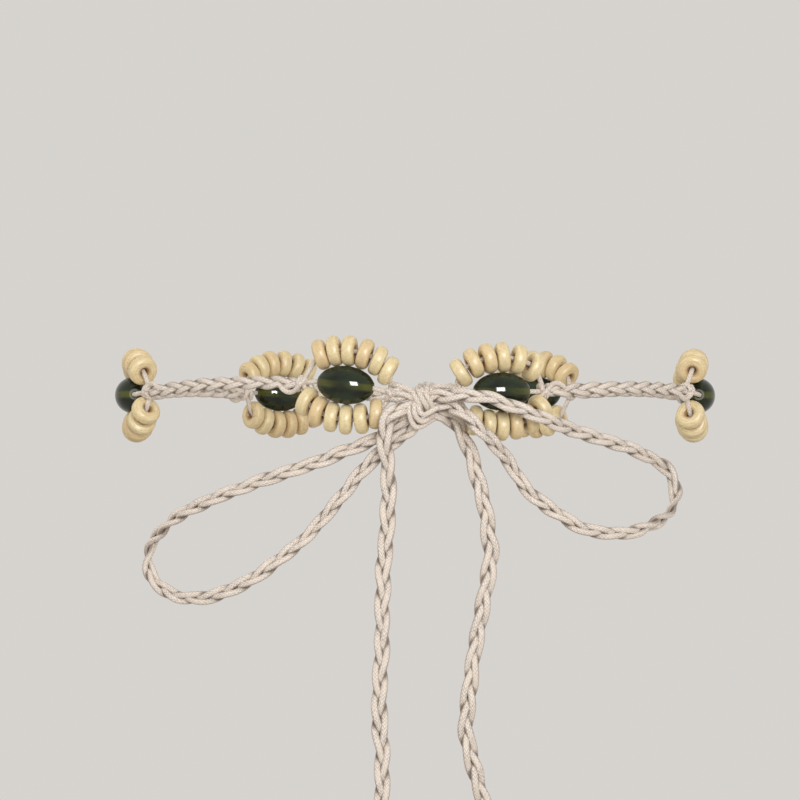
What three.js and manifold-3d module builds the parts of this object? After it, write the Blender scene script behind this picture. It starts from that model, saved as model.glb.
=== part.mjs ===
// A beaded waist chain, worn and tied: six flower-like motifs joined by three-strand braids of
// waxed cord round a waist, and a bow of the same braid tied at the front. Each motif is a green
// oval bead on the middle strand, ringed by twelve wooden rondelles that the outer two strands
// carry, six above and six below. Millimetres, +Z up, the wearer's front towards -Y; the origin
// is the middle of the waist opening, in the plane of the loop.
import * as THREE from "three";
import { mergeVertices } from "three/addons/utils/BufferGeometryUtils.js";
import Module from "manifold-3d";

const wasm = await Module();
wasm.setup();

// The waist that the chain goes round: a half ellipse in front and a deeper one behind.
const WAIST_HALF_WIDTH = 112;
const WAIST_FRONT_DEPTH = 74;
const WAIST_BACK_DEPTH = 100;

// Beads
const GREEN_LENGTH = 22.4;
const GREEN_DIAMETER = 14.8;
const GREEN_END_DIAMETER = 5.6;
const BORE_CLEARANCE = 0.45;
const RONDELLE_DIAMETER = 12;
const RONDELLE_THICKNESS = 5;
const RONDELLE_RIM_WIDTH = 2.2;
const RONDELLE_CHAMFER = 2;

// Cord and braid
const CORD_DIAMETER = 2;
const BRAID_STRAND_DIAMETER = 1.6;
const BRAID_SPREAD_PER_STRAND = 1.22;
const BRAID_DEPTH_PER_STRAND = 0.91;
const BRAID_V_PITCH = 10.4;
const BRAID_LANDING = 15;
const BRAID_CREST = 1.4;
const TIE_DIAMETER = 4.8;
const ROOT_LENGTH = 9;

// Motif layout
const CORE_SHOWING = 4.5;
const KNOT_LENGTH = 5.8;
const KNOT_WIDTH = 7;
const KNOT_THICKNESS = 6.2;
const KNOT_LIFT = 5;
const STRING_LANDING = 65;
const FRONT_LEFT_ALONG = -27;
const FRONT_RIGHT_ALONG = 33;

// The knots of the bow and of the tails
const BOW_KNOT_SIZE = { width: 7.6, depth: 8.6, height: 15 };
const TAIL_END_KNOT = { diameter: 7, length: 7.5 };

// How far each loop of the bow reaches sideways, and the height that each tail hangs.
const LOOP_REACH = { left: 109.5, right: 107 };
const TAIL_HEIGHT = { left: 173, right: 171.5 };

// Clearances
const MEETING_GAP = 0.3;
const SEAT_GAP = 0.35;
const SKIN_GAP = 0.2;

// Facets
const ROUND_SIDES = 10;
const STRAND_SIDES = 5;
const TIE_SIDES = 8;
const GREEN_RINGS = 4;
const MOTIF_KNOT_RINGS = 3;
const BOW_KNOT_RINGS = 6;
const TAIL_KNOT_RINGS = 5;
const WRAP_STEPS = 5;
const TIE_STEP = 14;
const STEPS_PER_V = 2.7;
const SKIN_SAMPLES = 1440;

// The lower body widens under the waist. Each row: how far below the waist, and how far the
// sides and the front stand out there beyond the waist itself.
const HIP_FORM = [
  { below: 0, side: 0, front: 0 },
  { below: 25, side: 1, front: 1 },
  { below: 50, side: 9, front: 3 },
  { below: 90, side: 23, front: 8 },
  { below: 130, side: 34, front: 12 },
  { below: 190, side: 44, front: 15 },
];

// Where the rondelles sit on a motif's upper and lower string. at: place on the string's arc in
// degrees, from the wearer's left end at 0 to the right end at 180. tilt: how far the disc leans
// towards the left end at its top. turn: how far it is turned about its height.
const FLOWER_A = {
  upper: [
    { at: 28, tilt: 22, turn: 0 },
    { at: 48.5, tilt: 17, turn: 4 },
    { at: 69.5, tilt: 12, turn: 0 },
    { at: 91.5, tilt: -4, turn: -4 },
    { at: 112.5, tilt: -17, turn: 0 },
    { at: 133, tilt: -25, turn: 5 },
  ],
  lower: [
    { at: 41, tilt: -4, turn: 6 },
    { at: 63, tilt: -13, turn: 0 },
    { at: 84.5, tilt: -4, turn: 5 },
    { at: 105, tilt: 2, turn: 4 },
    { at: 126, tilt: 11, turn: 0 },
    { at: 148, tilt: 20, turn: -6 },
  ],
};
const FLOWER_B = {
  upper: [
    { at: 40, tilt: 25, turn: 6 },
    { at: 65, tilt: 12, turn: 0 },
    { at: 87.5, tilt: -7, turn: -4 },
    { at: 108.5, tilt: -16, turn: 4 },
    { at: 130, tilt: -26, turn: 0 },
    { at: 152.5, tilt: -34, turn: -9 },
  ],
  lower: [
    { at: 25, tilt: -31, turn: 8 },
    { at: 47.5, tilt: -19, turn: 0 },
    { at: 69, tilt: -6, turn: -5 },
    { at: 89, tilt: 1, turn: 0 },
    { at: 108.5, tilt: 4, turn: 4 },
    { at: 128.5, tilt: 9, turn: 0 },
  ],
};

// The motifs in order along the chain, from the bow round by the wearer's right. rise: height of
// the green bead over the loop's plane. roll: how far the motif has slipped round its own middle.
// sag: how far its two knots hang under its middle line.
const MOTIFS = [
  { name: "front_left", flower: FLOWER_A, rise: 1.2, roll: -7, sag: 1.6 },
  { name: "side_left", flower: FLOWER_B, rise: -2.8, roll: 2, sag: -0.8 },
  { name: "back_left", flower: FLOWER_A, rise: -2.2, roll: 3, sag: 0.4 },
  { name: "back_right", flower: FLOWER_B, rise: -2.2, roll: -3, sag: 0.4 },
  { name: "side_right", flower: FLOWER_A, rise: -3, roll: -2, sag: -1.4 },
  { name: "front_right", flower: FLOWER_B, rise: -1.4, roll: 0, sag: 0 },
];
const BRAID_NAMES = ["left_front", "left_back", "back", "right_back", "right_front"];

// The bow's route, chosen by hand. x: sideways, z: height, lift: off the skin. Each part is then
// brought to its own size as a whole.
const BOW_ROUTE = {
  loopRight: [
    { x: 7.5, z: -3, lift: 11.6 },
    { x: 13.5, z: -3, lift: 14.8 },
    { x: 21.5, z: -3, lift: 17.6 },
    { x: 29.5, z: -4, lift: 18.6 },
    { x: 37.5, z: -7, lift: 18.6 },
    { x: 45.5, z: -10, lift: 17.6 },
    { x: 52, z: -12.5, lift: 15.6 },
    { x: 58, z: -15, lift: 11.6 },
    { x: 65, z: -17.5, lift: 6.8 },
    { x: 74.5, z: -20.5, lift: 3.8 },
    { x: 87.5, z: -24.5, lift: 3.4 },
    { x: 94, z: -27.5, lift: 3.2 },
    { x: 100, z: -30.5, lift: 3.2 },
    { x: 104.5, z: -34, lift: 3.2 },
    { x: 107, z: -39.5, lift: 3.2 },
    { x: 107, z: -46, lift: 3.2 },
    { x: 104, z: -51.5, lift: 3.2 },
    { x: 98.5, z: -55, lift: 3.2 },
    { x: 92, z: -57.5, lift: 3.2 },
    { x: 84.5, z: -59, lift: 3.2 },
    { x: 77, z: -58.5, lift: 3.2 },
    { x: 70, z: -57.5, lift: 3.2 },
    { x: 64, z: -55, lift: 3.2 },
    { x: 58, z: -51, lift: 3.2 },
    { x: 52.5, z: -47.5, lift: 3.2 },
    { x: 48, z: -44, lift: 3.2 },
    { x: 44, z: -40, lift: 3.4 },
    { x: 40.5, z: -35, lift: 3.8 },
    { x: 37.5, z: -30, lift: 5 },
    { x: 34, z: -25.5, lift: 8 },
    { x: 30, z: -21, lift: 12 },
    { x: 25.5, z: -16.5, lift: 15.2 },
    { x: 21, z: -12, lift: 15.8 },
    { x: 16.5, z: -8.5, lift: 14 },
    { x: 12.5, z: -7, lift: 11 },
  ],
  loopLeft: [
    { x: -3, z: -11, lift: 7.4 },
    { x: -6.5, z: -13.5, lift: 6.4 },
    { x: -10.5, z: -17, lift: 5.2 },
    { x: -16.5, z: -20.5, lift: 3.8 },
    { x: -23.5, z: -23.5, lift: 3.6 },
    { x: -31.5, z: -26.5, lift: 3.4 },
    { x: -38.5, z: -29.5, lift: 3.2 },
    { x: -46.5, z: -32, lift: 3.2 },
    { x: -55, z: -35, lift: 3.2 },
    { x: -63, z: -37.5, lift: 3.2 },
    { x: -70.5, z: -40.5, lift: 3.2 },
    { x: -79, z: -43.5, lift: 3.2 },
    { x: -85.5, z: -46.5, lift: 3.2 },
    { x: -92.5, z: -49.5, lift: 3.2 },
    { x: -99, z: -53.5, lift: 3.2 },
    { x: -104.5, z: -58.5, lift: 3.2 },
    { x: -108, z: -63, lift: 3.2 },
    { x: -109.5, z: -68.5, lift: 3.2 },
    { x: -109.5, z: -73.5, lift: 3.2 },
    { x: -107, z: -78.5, lift: 3.2 },
    { x: -102.5, z: -82, lift: 3.2 },
    { x: -97, z: -84.5, lift: 3.2 },
    { x: -89.5, z: -85, lift: 3.2 },
    { x: -82, z: -84, lift: 3.2 },
    { x: -75.5, z: -81.5, lift: 3.2 },
    { x: -68, z: -78, lift: 3.2 },
    { x: -61, z: -73.5, lift: 3.2 },
    { x: -54, z: -68, lift: 3.2 },
    { x: -46.5, z: -62, lift: 3.2 },
    { x: -40, z: -55.5, lift: 3.2 },
    { x: -34.5, z: -49, lift: 3.2 },
    { x: -29, z: -42.5, lift: 3.2 },
    { x: -23.5, z: -35.5, lift: 3.2 },
    { x: -18, z: -29.5, lift: 3.4 },
    { x: -12, z: -24, lift: 4 },
    { x: -6, z: -19.5, lift: 5.2 },
    { x: -1.5, z: -16, lift: 6.6 },
  ],
  tailLeft: [
    { x: -4, z: -7.5, lift: 11.2 },
    { x: -7.5, z: -9, lift: 12.6 },
    { x: -11, z: -12, lift: 12.6 },
    { x: -12.5, z: -16.5, lift: 11.4 },
    { x: -12.5, z: -22.5, lift: 9.8 },
    { x: -11.5, z: -29, lift: 7.8 },
    { x: -11, z: -37.5, lift: 5.2 },
    { x: -11, z: -45.5, lift: 4 },
    { x: -11.5, z: -53.5, lift: 3.5 },
    { x: -12, z: -62, lift: 3.5 },
    { x: -13, z: -70, lift: 3.5 },
    { x: -13, z: -78, lift: 3.5 },
    { x: -13.5, z: -86, lift: 3.5 },
    { x: -13.5, z: -94, lift: 3.5 },
    { x: -13.5, z: -102.5, lift: 3.5 },
    { x: -14, z: -110, lift: 3.5 },
    { x: -14.5, z: -118.5, lift: 3.5 },
    { x: -14.5, z: -126.5, lift: 3.5 },
    { x: -14.5, z: -134.5, lift: 3.5 },
    { x: -13.5, z: -142.5, lift: 3.5 },
    { x: -13.5, z: -150.5, lift: 3.5 },
    { x: -13.5, z: -160.5, lift: 3.5 },
    { x: -13.5, z: -173, lift: 3.5 },
  ],
  tailRight: [
    { x: 7.5, z: -10, lift: 7.2 },
    { x: 12, z: -11, lift: 5 },
    { x: 16, z: -14, lift: 3.6 },
    { x: 18.5, z: -18.5, lift: 3.2 },
    { x: 21.5, z: -25, lift: 3.4 },
    { x: 24, z: -33.5, lift: 3.8 },
    { x: 26, z: -41.5, lift: 4 },
    { x: 28, z: -49.5, lift: 4 },
    { x: 29, z: -58, lift: 3.6 },
    { x: 30, z: -66, lift: 3.5 },
    { x: 29, z: -74, lift: 3.5 },
    { x: 27.5, z: -82, lift: 3.5 },
    { x: 26, z: -90, lift: 3.5 },
    { x: 24.5, z: -98.5, lift: 3.5 },
    { x: 23, z: -106.5, lift: 3.5 },
    { x: 22, z: -114, lift: 3.5 },
    { x: 21, z: -122.5, lift: 3.5 },
    { x: 20, z: -130.5, lift: 3.5 },
    { x: 20, z: -138.5, lift: 3.5 },
    { x: 22, z: -146.5, lift: 3.5 },
    { x: 24, z: -155, lift: 3.5 },
    { x: 26.5, z: -163, lift: 3.5 },
    { x: 28.5, z: -171.5, lift: 3.5 },
  ],
  wrap: [
    { x: 0.6, z: 1.4, lift: 7 },
    { x: 0.6, z: 0.2, lift: 10.4 },
    { x: 1.8, z: -3.4, lift: 12.6 },
    { x: 3.6, z: -7.6, lift: 11.8 },
    { x: 3.8, z: -10.4, lift: 8 },
  ],
};
// The middle of the bow knot, where every part of it meets, and the height of the knot as drawn.
const KNOT_HEART = { x: 1.2, z: -6.8, lift: 8 };
const KNOT_DRAWN_HEIGHT = 15;

const GREEN_RADIUS = GREEN_DIAMETER / 2;
const GREEN_LIFT = GREEN_RADIUS + SKIN_GAP;
const GREEN_OVAL_HALF = GREEN_LENGTH / 2 / Math.sqrt(1 - (GREEN_END_DIAMETER / GREEN_DIAMETER) ** 2);
const RONDELLE_RADIUS = RONDELLE_DIAMETER / 2;
const RONDELLE_LIFT = RONDELLE_RADIUS + SKIN_GAP;
const BRAID_HALF_SPREAD = BRAID_SPREAD_PER_STRAND * BRAID_STRAND_DIAMETER;
const BRAID_HALF_DEPTH = BRAID_DEPTH_PER_STRAND * BRAID_STRAND_DIAMETER;
const BRAID_LIFT = BRAID_HALF_DEPTH + BRAID_STRAND_DIAMETER / 2 + SKIN_GAP;
const KNOT_REACH = GREEN_LENGTH / 2 + CORE_SHOWING + KNOT_LENGTH / 2;
const KNOT_OUTER_REACH = KNOT_REACH + KNOT_LENGTH / 2 + MEETING_GAP;
const UP = new THREE.Vector3(0, 0, 1);
const radians = THREE.MathUtils.degToRad;

// Arc length along the waist from its front middle, tabulated once for both directions.
const skin = skinTable();

function skinPoint(angle) {
  const depth = Math.cos(angle) > 0 ? WAIST_FRONT_DEPTH : WAIST_BACK_DEPTH;
  return new THREE.Vector2(WAIST_HALF_WIDTH * Math.sin(angle), -depth * Math.cos(angle));
}

function skinTable() {
  const rows = [{ angle: 0, along: 0 }];
  for (let i = 1; i <= SKIN_SAMPLES; i++) {
    const angle = (i * Math.PI) / SKIN_SAMPLES;
    const step = skinPoint(angle).distanceTo(skinPoint(rows[i - 1].angle));
    rows.push({ angle, along: rows[i - 1].along + step });
  }
  return rows;
}

function halfLoop() {
  return skin[SKIN_SAMPLES].along;
}

// The skin's point and outward direction at a length along the waist, negative on the left.
function skinAt(along) {
  const loop = 2 * halfLoop();
  let s = along - loop * Math.round(along / loop);
  const side = s < 0 ? -1 : 1;
  s = Math.abs(s);
  let i = 1;
  while (i < SKIN_SAMPLES && skin[i].along < s) i++;
  const share = (s - skin[i - 1].along) / (skin[i].along - skin[i - 1].along);
  const angle = skin[i - 1].angle + share * (skin[i].angle - skin[i - 1].angle);
  const p = skinPoint(angle);
  const depth = Math.cos(angle) > 0 ? WAIST_FRONT_DEPTH : WAIST_BACK_DEPTH;
  const out = new THREE.Vector3(Math.sin(angle) / WAIST_HALF_WIDTH, -Math.cos(angle) / depth, 0);
  out.normalize();
  out.x *= side;
  return { origin: new THREE.Vector3(side * p.x, p.y, 0), out };
}

// A point given by its length along the waist, its height, and its lift off the skin.
function onWaist(along, height, lift) {
  const { origin, out } = skinAt(along);
  return origin.addScaledVector(out, lift).setZ(height);
}

// A frame at such a point: X along the waist, Y outwards turned to the back, Z up.
function waistFrame(along, height, lift) {
  const { out } = skinAt(along);
  const tangent = new THREE.Vector3().crossVectors(out, UP).negate();
  const inward = out.clone().negate();
  const frame = new THREE.Matrix4().makeBasis(tangent, inward, UP);
  return frame.setPosition(onWaist(along, height, lift));
}

// How far the body stands out below the waist, between the rows of HIP_FORM.
function hipGrowth(z) {
  const below = Math.max(0, -z);
  let i = 1;
  while (i < HIP_FORM.length - 1 && HIP_FORM[i].below < below) i++;
  const [from, to] = [HIP_FORM[i - 1], HIP_FORM[i]];
  const share = Math.min(1, (below - from.below) / (to.below - from.below));
  const ease = share * share * (3 - 2 * share);
  return {
    side: THREE.MathUtils.lerp(from.side, to.side, ease),
    front: THREE.MathUtils.lerp(from.front, to.front, ease),
  };
}

// A point of the bow's route on the front of the body.
function onFront({ x, z, lift }) {
  const growth = hipGrowth(z);
  const halfWidth = WAIST_HALF_WIDTH + growth.side + lift;
  const depth = WAIST_FRONT_DEPTH + growth.front + lift;
  return new THREE.Vector3(x, -depth * Math.sqrt(1 - (x / halfWidth) ** 2), z);
}

// A motif's own frame turned by its roll: places (p along, q up) round its middle.
function motifPlace(motif, p, q) {
  const roll = radians(motif.roll);
  return {
    along: motif.along + p * Math.cos(roll) - q * Math.sin(roll),
    height: motif.rise + p * Math.sin(roll) + q * Math.cos(roll),
  };
}

function onMotif(motif, p, q, lift) {
  const { along, height } = motifPlace(motif, p, q);
  return onWaist(along, height, lift);
}

// A curve that steps evenly in its own parameter, so strands of one braid stay in step.
class EvenCurve extends THREE.Curve {
  constructor(place) {
    super();
    this.place = place;
  }

  getPoint(t) {
    return this.place(t);
  }

  getPointAt(u) {
    return this.place(u);
  }

  getTangentAt(u) {
    return this.getTangent(u);
  }
}

function polygon(sides, width, height = width) {
  const points = [];
  for (let i = 0; i < sides; i++) {
    const angle = (2 * Math.PI * i) / sides;
    points.push(new THREE.Vector2((width / 2) * Math.cos(angle), (height / 2) * Math.sin(angle)));
  }
  return new THREE.Shape(points);
}

function tube(curve, steps, sides, diameter) {
  const options = { steps, extrudePath: curve, bevelEnabled: false };
  return new THREE.ExtrudeGeometry(polygon(sides, diameter), options);
}

function smooth(points) {
  return new THREE.CatmullRomCurve3(points, false, "centripetal");
}

// A closed geometry as a solid, and a solid as a geometry again.
function solidOf(geometry) {
  const bare = geometry.index ? geometry.toNonIndexed() : geometry.clone();
  bare.deleteAttribute("normal");
  bare.deleteAttribute("uv");
  const merged = mergeVertices(bare, 1e-3);
  const vertProperties = merged.attributes.position.array;
  const triVerts = new Uint32Array(merged.index.array);
  return new wasm.Manifold(new wasm.Mesh({ numProp: 3, vertProperties, triVerts }));
}

function geometryOf(solid) {
  const { numProp, vertProperties, triVerts } = solid.getMesh();
  const count = vertProperties.length / numProp;
  const positions = new Float32Array(3 * count);
  for (let i = 0; i < count; i++) {
    positions.set(vertProperties.subarray(i * numProp, i * numProp + 3), 3 * i);
  }
  const geometry = new THREE.BufferGeometry();
  geometry.setAttribute("position", new THREE.BufferAttribute(positions, 3));
  geometry.setIndex(new THREE.BufferAttribute(new Uint32Array(triVerts), 1));
  geometry.computeVertexNormals();
  return geometry;
}

function fuse(geometries) {
  return geometryOf(geometries.map(solidOf).reduce((all, next) => all.add(next)));
}

// Finishes
const RESIN = new THREE.MeshStandardMaterial({ color: 0x2a3320, roughness: 0.12, metalness: 0 });
const WOOD = new THREE.MeshStandardMaterial({ color: 0xdcc184, roughness: 0.45, metalness: 0 });
const CORD = new THREE.MeshStandardMaterial({ color: 0xe3d6c8, roughness: 0.8, metalness: 0 });

const chain = new THREE.Group();

function addMesh(name, geometry, material) {
  const mesh = new THREE.Mesh(geometry, material);
  mesh.name = name;
  chain.add(mesh);
  return mesh;
}

// Stations of the motifs: the front pair either side of the bow, the rest evenly round the back.
function setStations() {
  const frontGap = FRONT_RIGHT_ALONG - FRONT_LEFT_ALONG;
  const pitch = (2 * halfLoop() - frontGap) / (MOTIFS.length - 1);
  MOTIFS.forEach((motif, i) => {
    motif.along = FRONT_LEFT_ALONG - i * pitch;
  });
}

// The green bead: an oval turned on its bore, with small flat ends.
function greenBead(motif) {
  const half = GREEN_LENGTH / 2;
  const bore = CORD_DIAMETER / 2 + BORE_CLEARANCE;
  const profile = [new THREE.Vector2(bore, -half)];
  for (let i = 0; i <= GREEN_RINGS; i++) {
    const share = Math.sin(Math.PI * (i / GREEN_RINGS - 0.5));
    const radius = GREEN_RADIUS * Math.sqrt(1 - ((share * half) / GREEN_OVAL_HALF) ** 2);
    profile.push(new THREE.Vector2(radius, half * share));
  }
  profile.push(new THREE.Vector2(bore, half), new THREE.Vector2(bore, -half));
  const bead = new THREE.LatheGeometry(profile, ROUND_SIDES);
  bead.rotateZ(-Math.PI / 2);
  const mesh = addMesh(`green_bead_${motif.name}`, bead, RESIN);
  const roll = new THREE.Matrix4().makeRotationY(-radians(motif.roll));
  const frame = waistFrame(motif.along, motif.rise, GREEN_LIFT).multiply(roll);
  frame.decompose(mesh.position, mesh.quaternion, mesh.scale);
}

// One rondelle, its axis along X, with a chamfer on each side of its rim.
function rondelle() {
  const face = polygon(ROUND_SIDES, RONDELLE_DIAMETER - 2 * RONDELLE_CHAMFER);
  const disc = new THREE.ExtrudeGeometry(face, {
    depth: RONDELLE_RIM_WIDTH,
    bevelThickness: (RONDELLE_THICKNESS - RONDELLE_RIM_WIDTH) / 2,
    bevelSize: RONDELLE_CHAMFER * Math.cos(Math.PI / ROUND_SIDES),
    bevelSegments: 1,
  });
  return disc.translate(0, 0, -RONDELLE_RIM_WIDTH / 2).rotateY(Math.PI / 2);
}

// A place on the arc that the middles of the rondelles keep round the green bead.
function arcPlace(at, sign) {
  const angle = radians(at);
  const oval = new THREE.Vector2(GREEN_OVAL_HALF * Math.cos(angle), GREEN_RADIUS * Math.sin(angle));
  const out = new THREE.Vector2(Math.cos(angle) / GREEN_OVAL_HALF, Math.sin(angle) / GREEN_RADIUS);
  oval.addScaledVector(out.normalize(), RONDELLE_RADIUS + SEAT_GAP);
  return { p: oval.x, q: sign * oval.y };
}

// A place just clear of a motif's knot, where a string of rondelles comes in.
function overKnot(motif, end, sign) {
  const angle = radians(STRING_LANDING);
  const clearance = MEETING_GAP + CORD_DIAMETER / 4;
  const out = new THREE.Vector2(Math.cos(angle) / KNOT_LENGTH, Math.sin(angle) / KNOT_WIDTH);
  out.normalize();
  const p = KNOT_REACH - (KNOT_LENGTH / 2) * Math.cos(angle) - clearance * out.x;
  const q = (KNOT_WIDTH / 2) * Math.sin(angle) + clearance * out.y;
  return onMotif(motif, end * p, sign * q - motif.sag, KNOT_LIFT);
}

// A string of rondelles over or under the green bead, fused to the cord that carries them.
function petalString(motif, side) {
  const sign = side === "upper" ? 1 : -1;
  const route = [overKnot(motif, 1, sign)];
  const solids = [];
  for (const { at, tilt, turn } of motif.flower[side]) {
    const { p, q } = arcPlace(at, sign);
    const { along, height } = motifPlace(motif, p, q);
    const frame = waistFrame(along, height, RONDELLE_LIFT);
    frame.multiply(new THREE.Matrix4().makeRotationY(radians(tilt - motif.roll)));
    frame.multiply(new THREE.Matrix4().makeRotationZ(radians(turn)));
    solids.push(rondelle().applyMatrix4(frame));
    route.push(onWaist(along, height, RONDELLE_LIFT));
  }
  route.push(overKnot(motif, -1, sign));
  const line = new EvenCurve((t) => alongLine(route, t));
  solids.push(tube(line, route.length - 1, STRAND_SIDES, CORD_DIAMETER));
  addMesh(`petals_${side}_${motif.name}`, fuse(solids), WOOD);
}

// The knot that ties the three cords together at one end of a motif.
function motifKnot(motif, end) {
  const knot = new THREE.SphereGeometry(0.5, TIE_SIDES, MOTIF_KNOT_RINGS).rotateZ(Math.PI / 2);
  knot.scale(KNOT_LENGTH, KNOT_THICKNESS, KNOT_WIDTH);
  const { along, height } = motifPlace(motif, end * KNOT_REACH, -motif.sag);
  return knot.applyMatrix4(waistFrame(along, height, KNOT_LIFT));
}

// The middle cord of a motif, straight through the green bead, with the knots at its two ends.
function coreCord(motif) {
  const bead = waistFrame(motif.along, motif.rise, GREEN_LIFT);
  bead.multiply(new THREE.Matrix4().makeRotationY(-radians(motif.roll)));
  const inBead = (p) => new THREE.Vector3(p, 0, 0).applyMatrix4(bead);
  const mouth = GREEN_LENGTH / 2 + CORD_DIAMETER / 4;
  const route = [
    onMotif(motif, -KNOT_REACH, -motif.sag, KNOT_LIFT),
    inBead(-mouth),
    inBead(mouth),
    onMotif(motif, KNOT_REACH, -motif.sag, KNOT_LIFT),
  ];
  const line = new EvenCurve((t) => alongLine(route, t));
  const cord = tube(line, route.length - 1, STRAND_SIDES, CORD_DIAMETER);
  const solids = [cord, motifKnot(motif, -1), motifKnot(motif, 1)];
  addMesh(`core_cord_${motif.name}`, fuse(solids), CORD);
}

function alongLine(points, t) {
  const place = t * (points.length - 1);
  const i = Math.min(points.length - 2, Math.floor(place));
  return points[i].clone().lerp(points[i + 1], place - i);
}

// A braid's lift off the skin: high at the knots, low in between.
function braidLift(fromStart, fromEnd) {
  const share = Math.min(1, Math.min(fromStart, fromEnd) / BRAID_LANDING);
  const ease = share * share * (3 - 2 * share);
  return THREE.MathUtils.lerp(KNOT_LIFT, BRAID_LIFT, ease);
}

// Three strands plaited between one motif and the next.
function braid(name, from, to) {
  const start = motifPlace(from, -KNOT_OUTER_REACH, -from.sag);
  const end = motifPlace(to, KNOT_OUTER_REACH, -to.sag);
  const length = Math.abs(end.along - start.along);
  const crossings = Math.round(length / BRAID_V_PITCH);
  const steps = Math.round(crossings * STEPS_PER_V);
  for (let strand = 0; strand < 3; strand++) {
    const place = (t) => {
      const phase = (2 * Math.PI * (crossings * t + strand)) / 3 + Math.PI / 2;
      const along = THREE.MathUtils.lerp(start.along, end.along, t);
      const crest = BRAID_CREST * Math.sin(Math.PI * t);
      const height = THREE.MathUtils.lerp(start.height, end.height, t) + crest;
      const lift = braidLift(t * length, (1 - t) * length);
      const across = BRAID_HALF_SPREAD * Math.sin(phase);
      const deep = BRAID_HALF_DEPTH * Math.sin(2 * phase);
      return onWaist(along, height + across, lift + deep);
    };
    const strandTube = tube(new EvenCurve(place), steps, STRAND_SIDES, BRAID_STRAND_DIAMETER);
    addMesh(`braid_${name}_strand_${strand + 1}`, strandTube, CORD);
  }
}

// Rows of a route brought to another size.
function scaled(rows, factor) {
  return rows.map(({ x, z, lift }) => ({ x: x * factor, z: z * factor, lift: lift * factor }));
}

// The rows of each part of the bow at its own size.
function bowRows() {
  const { loopLeft, loopRight, tailLeft, tailRight, wrap } = BOW_ROUTE;
  const drawnReach = (rows) => Math.max(...rows.map((row) => Math.abs(row.x)));
  return {
    loopLeft: scaled(loopLeft, LOOP_REACH.left / drawnReach(loopLeft)),
    loopRight: scaled(loopRight, LOOP_REACH.right / drawnReach(loopRight)),
    tailLeft: scaled(tailLeft, TAIL_HEIGHT.left / -tailLeft.at(-1).z),
    tailRight: scaled(tailRight, TAIL_HEIGHT.right / -tailRight.at(-1).z),
    wrap: scaled(wrap, BOW_KNOT_SIZE.height / KNOT_DRAWN_HEIGHT),
  };
}

// The whole route of a part of the tie, out of the bow knot's heart and, for a loop, back to it.
function tieRoute(rows, returns) {
  return smooth([KNOT_HEART, ...rows, ...(returns ? [KNOT_HEART] : [])].map(onFront));
}

// A part of a route between two lengths along it.
function stretch(route, from, to) {
  const length = route.getLength();
  return new EvenCurve((t) => route.getPointAt((from + t * (to - from)) / length));
}

// A loop or a tail, from where it leaves the bow knot; a tail ends in a small overhand knot.
function tie(name, rows, returns) {
  const route = tieRoute(rows, returns);
  const start = ROOT_LENGTH + MEETING_GAP;
  const end = route.getLength() - (returns ? start : 0);
  const part = stretch(route, start, end);
  const solids = [tube(part, Math.round((end - start) / TIE_STEP), TIE_SIDES, TIE_DIAMETER)];
  if (!returns) {
    const { diameter, length } = TAIL_END_KNOT;
    const knot = new THREE.SphereGeometry(0.5, TIE_SIDES, TAIL_KNOT_RINGS).rotateX(Math.PI / 2);
    const foot = part.getPoint(1);
    solids.push(knot.scale(diameter, diameter, length).translate(foot.x, foot.y, foot.z));
  }
  addMesh(name, solids.length > 1 ? fuse(solids) : solids[0], CORD);
}

// A straight root of the tie's thickness, from the bow knot's heart.
function straightRoot(to) {
  return tube(new THREE.LineCurve3(onFront(KNOT_HEART), to), 1, TIE_SIDES, TIE_DIAMETER);
}

// The bow knot: its body, the turn over its front, and the root of each loop, tail and belt end.
function bowKnot(bow, first, last) {
  const heart = onFront(KNOT_HEART);
  const body = new THREE.SphereGeometry(0.5, TIE_SIDES, BOW_KNOT_RINGS).rotateX(Math.PI / 2);
  body.scale(BOW_KNOT_SIZE.width, BOW_KNOT_SIZE.depth, BOW_KNOT_SIZE.height);
  body.translate(heart.x, heart.y, heart.z);
  const wrap = smooth(bow.wrap.map(onFront));
  const solids = [body, tube(wrap, WRAP_STEPS, TIE_SIDES, TIE_DIAMETER)];
  const reach = KNOT_OUTER_REACH + MEETING_GAP;
  solids.push(straightRoot(onMotif(first, reach, -first.sag, KNOT_LIFT)));
  solids.push(straightRoot(onMotif(last, -reach, -last.sag, KNOT_LIFT)));
  const { loopLeft, loopRight, tailLeft, tailRight } = bow;
  const backs = [[...loopLeft].reverse(), [...loopRight].reverse()];
  for (const rows of [loopLeft, loopRight, tailLeft, tailRight, ...backs]) {
    const root = stretch(tieRoute(rows, false), 0, ROOT_LENGTH);
    solids.push(tube(root, 1, TIE_SIDES, TIE_DIAMETER));
  }
  addMesh("bow_knot", fuse(solids), CORD);
}

setStations();
for (const motif of MOTIFS) {
  greenBead(motif);
  petalString(motif, "upper");
  petalString(motif, "lower");
  coreCord(motif);
}
BRAID_NAMES.forEach((name, i) => braid(name, MOTIFS[i], MOTIFS[i + 1]));
const bow = bowRows();
bowKnot(bow, MOTIFS[0], MOTIFS.at(-1));
tie("tie_loop_left", bow.loopLeft, true);
tie("tie_loop_right", bow.loopRight, true);
tie("tie_tail_left", bow.tailLeft, false);
tie("tie_tail_right", bow.tailRight, false);

export default chain;
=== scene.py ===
"""A waist chain, tied: six bead flowers on a three-strand braid, with a bow in front.

The sizes in the classes are millimetres, as in the part's source, and MM turns them to metres.
The frame is the part's: +Z up, the front towards -Y, the origin in the middle of the loop.
"""

import logging
import math
from dataclasses import dataclass, field, replace
from enum import Enum
from functools import cached_property
from typing import ClassVar

import bpy
import numpy as np
from bpy.types import ID, Material, Mesh, Node, NodeSocket, NodeTree, Object
from mathutils import Matrix, Vector


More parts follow.
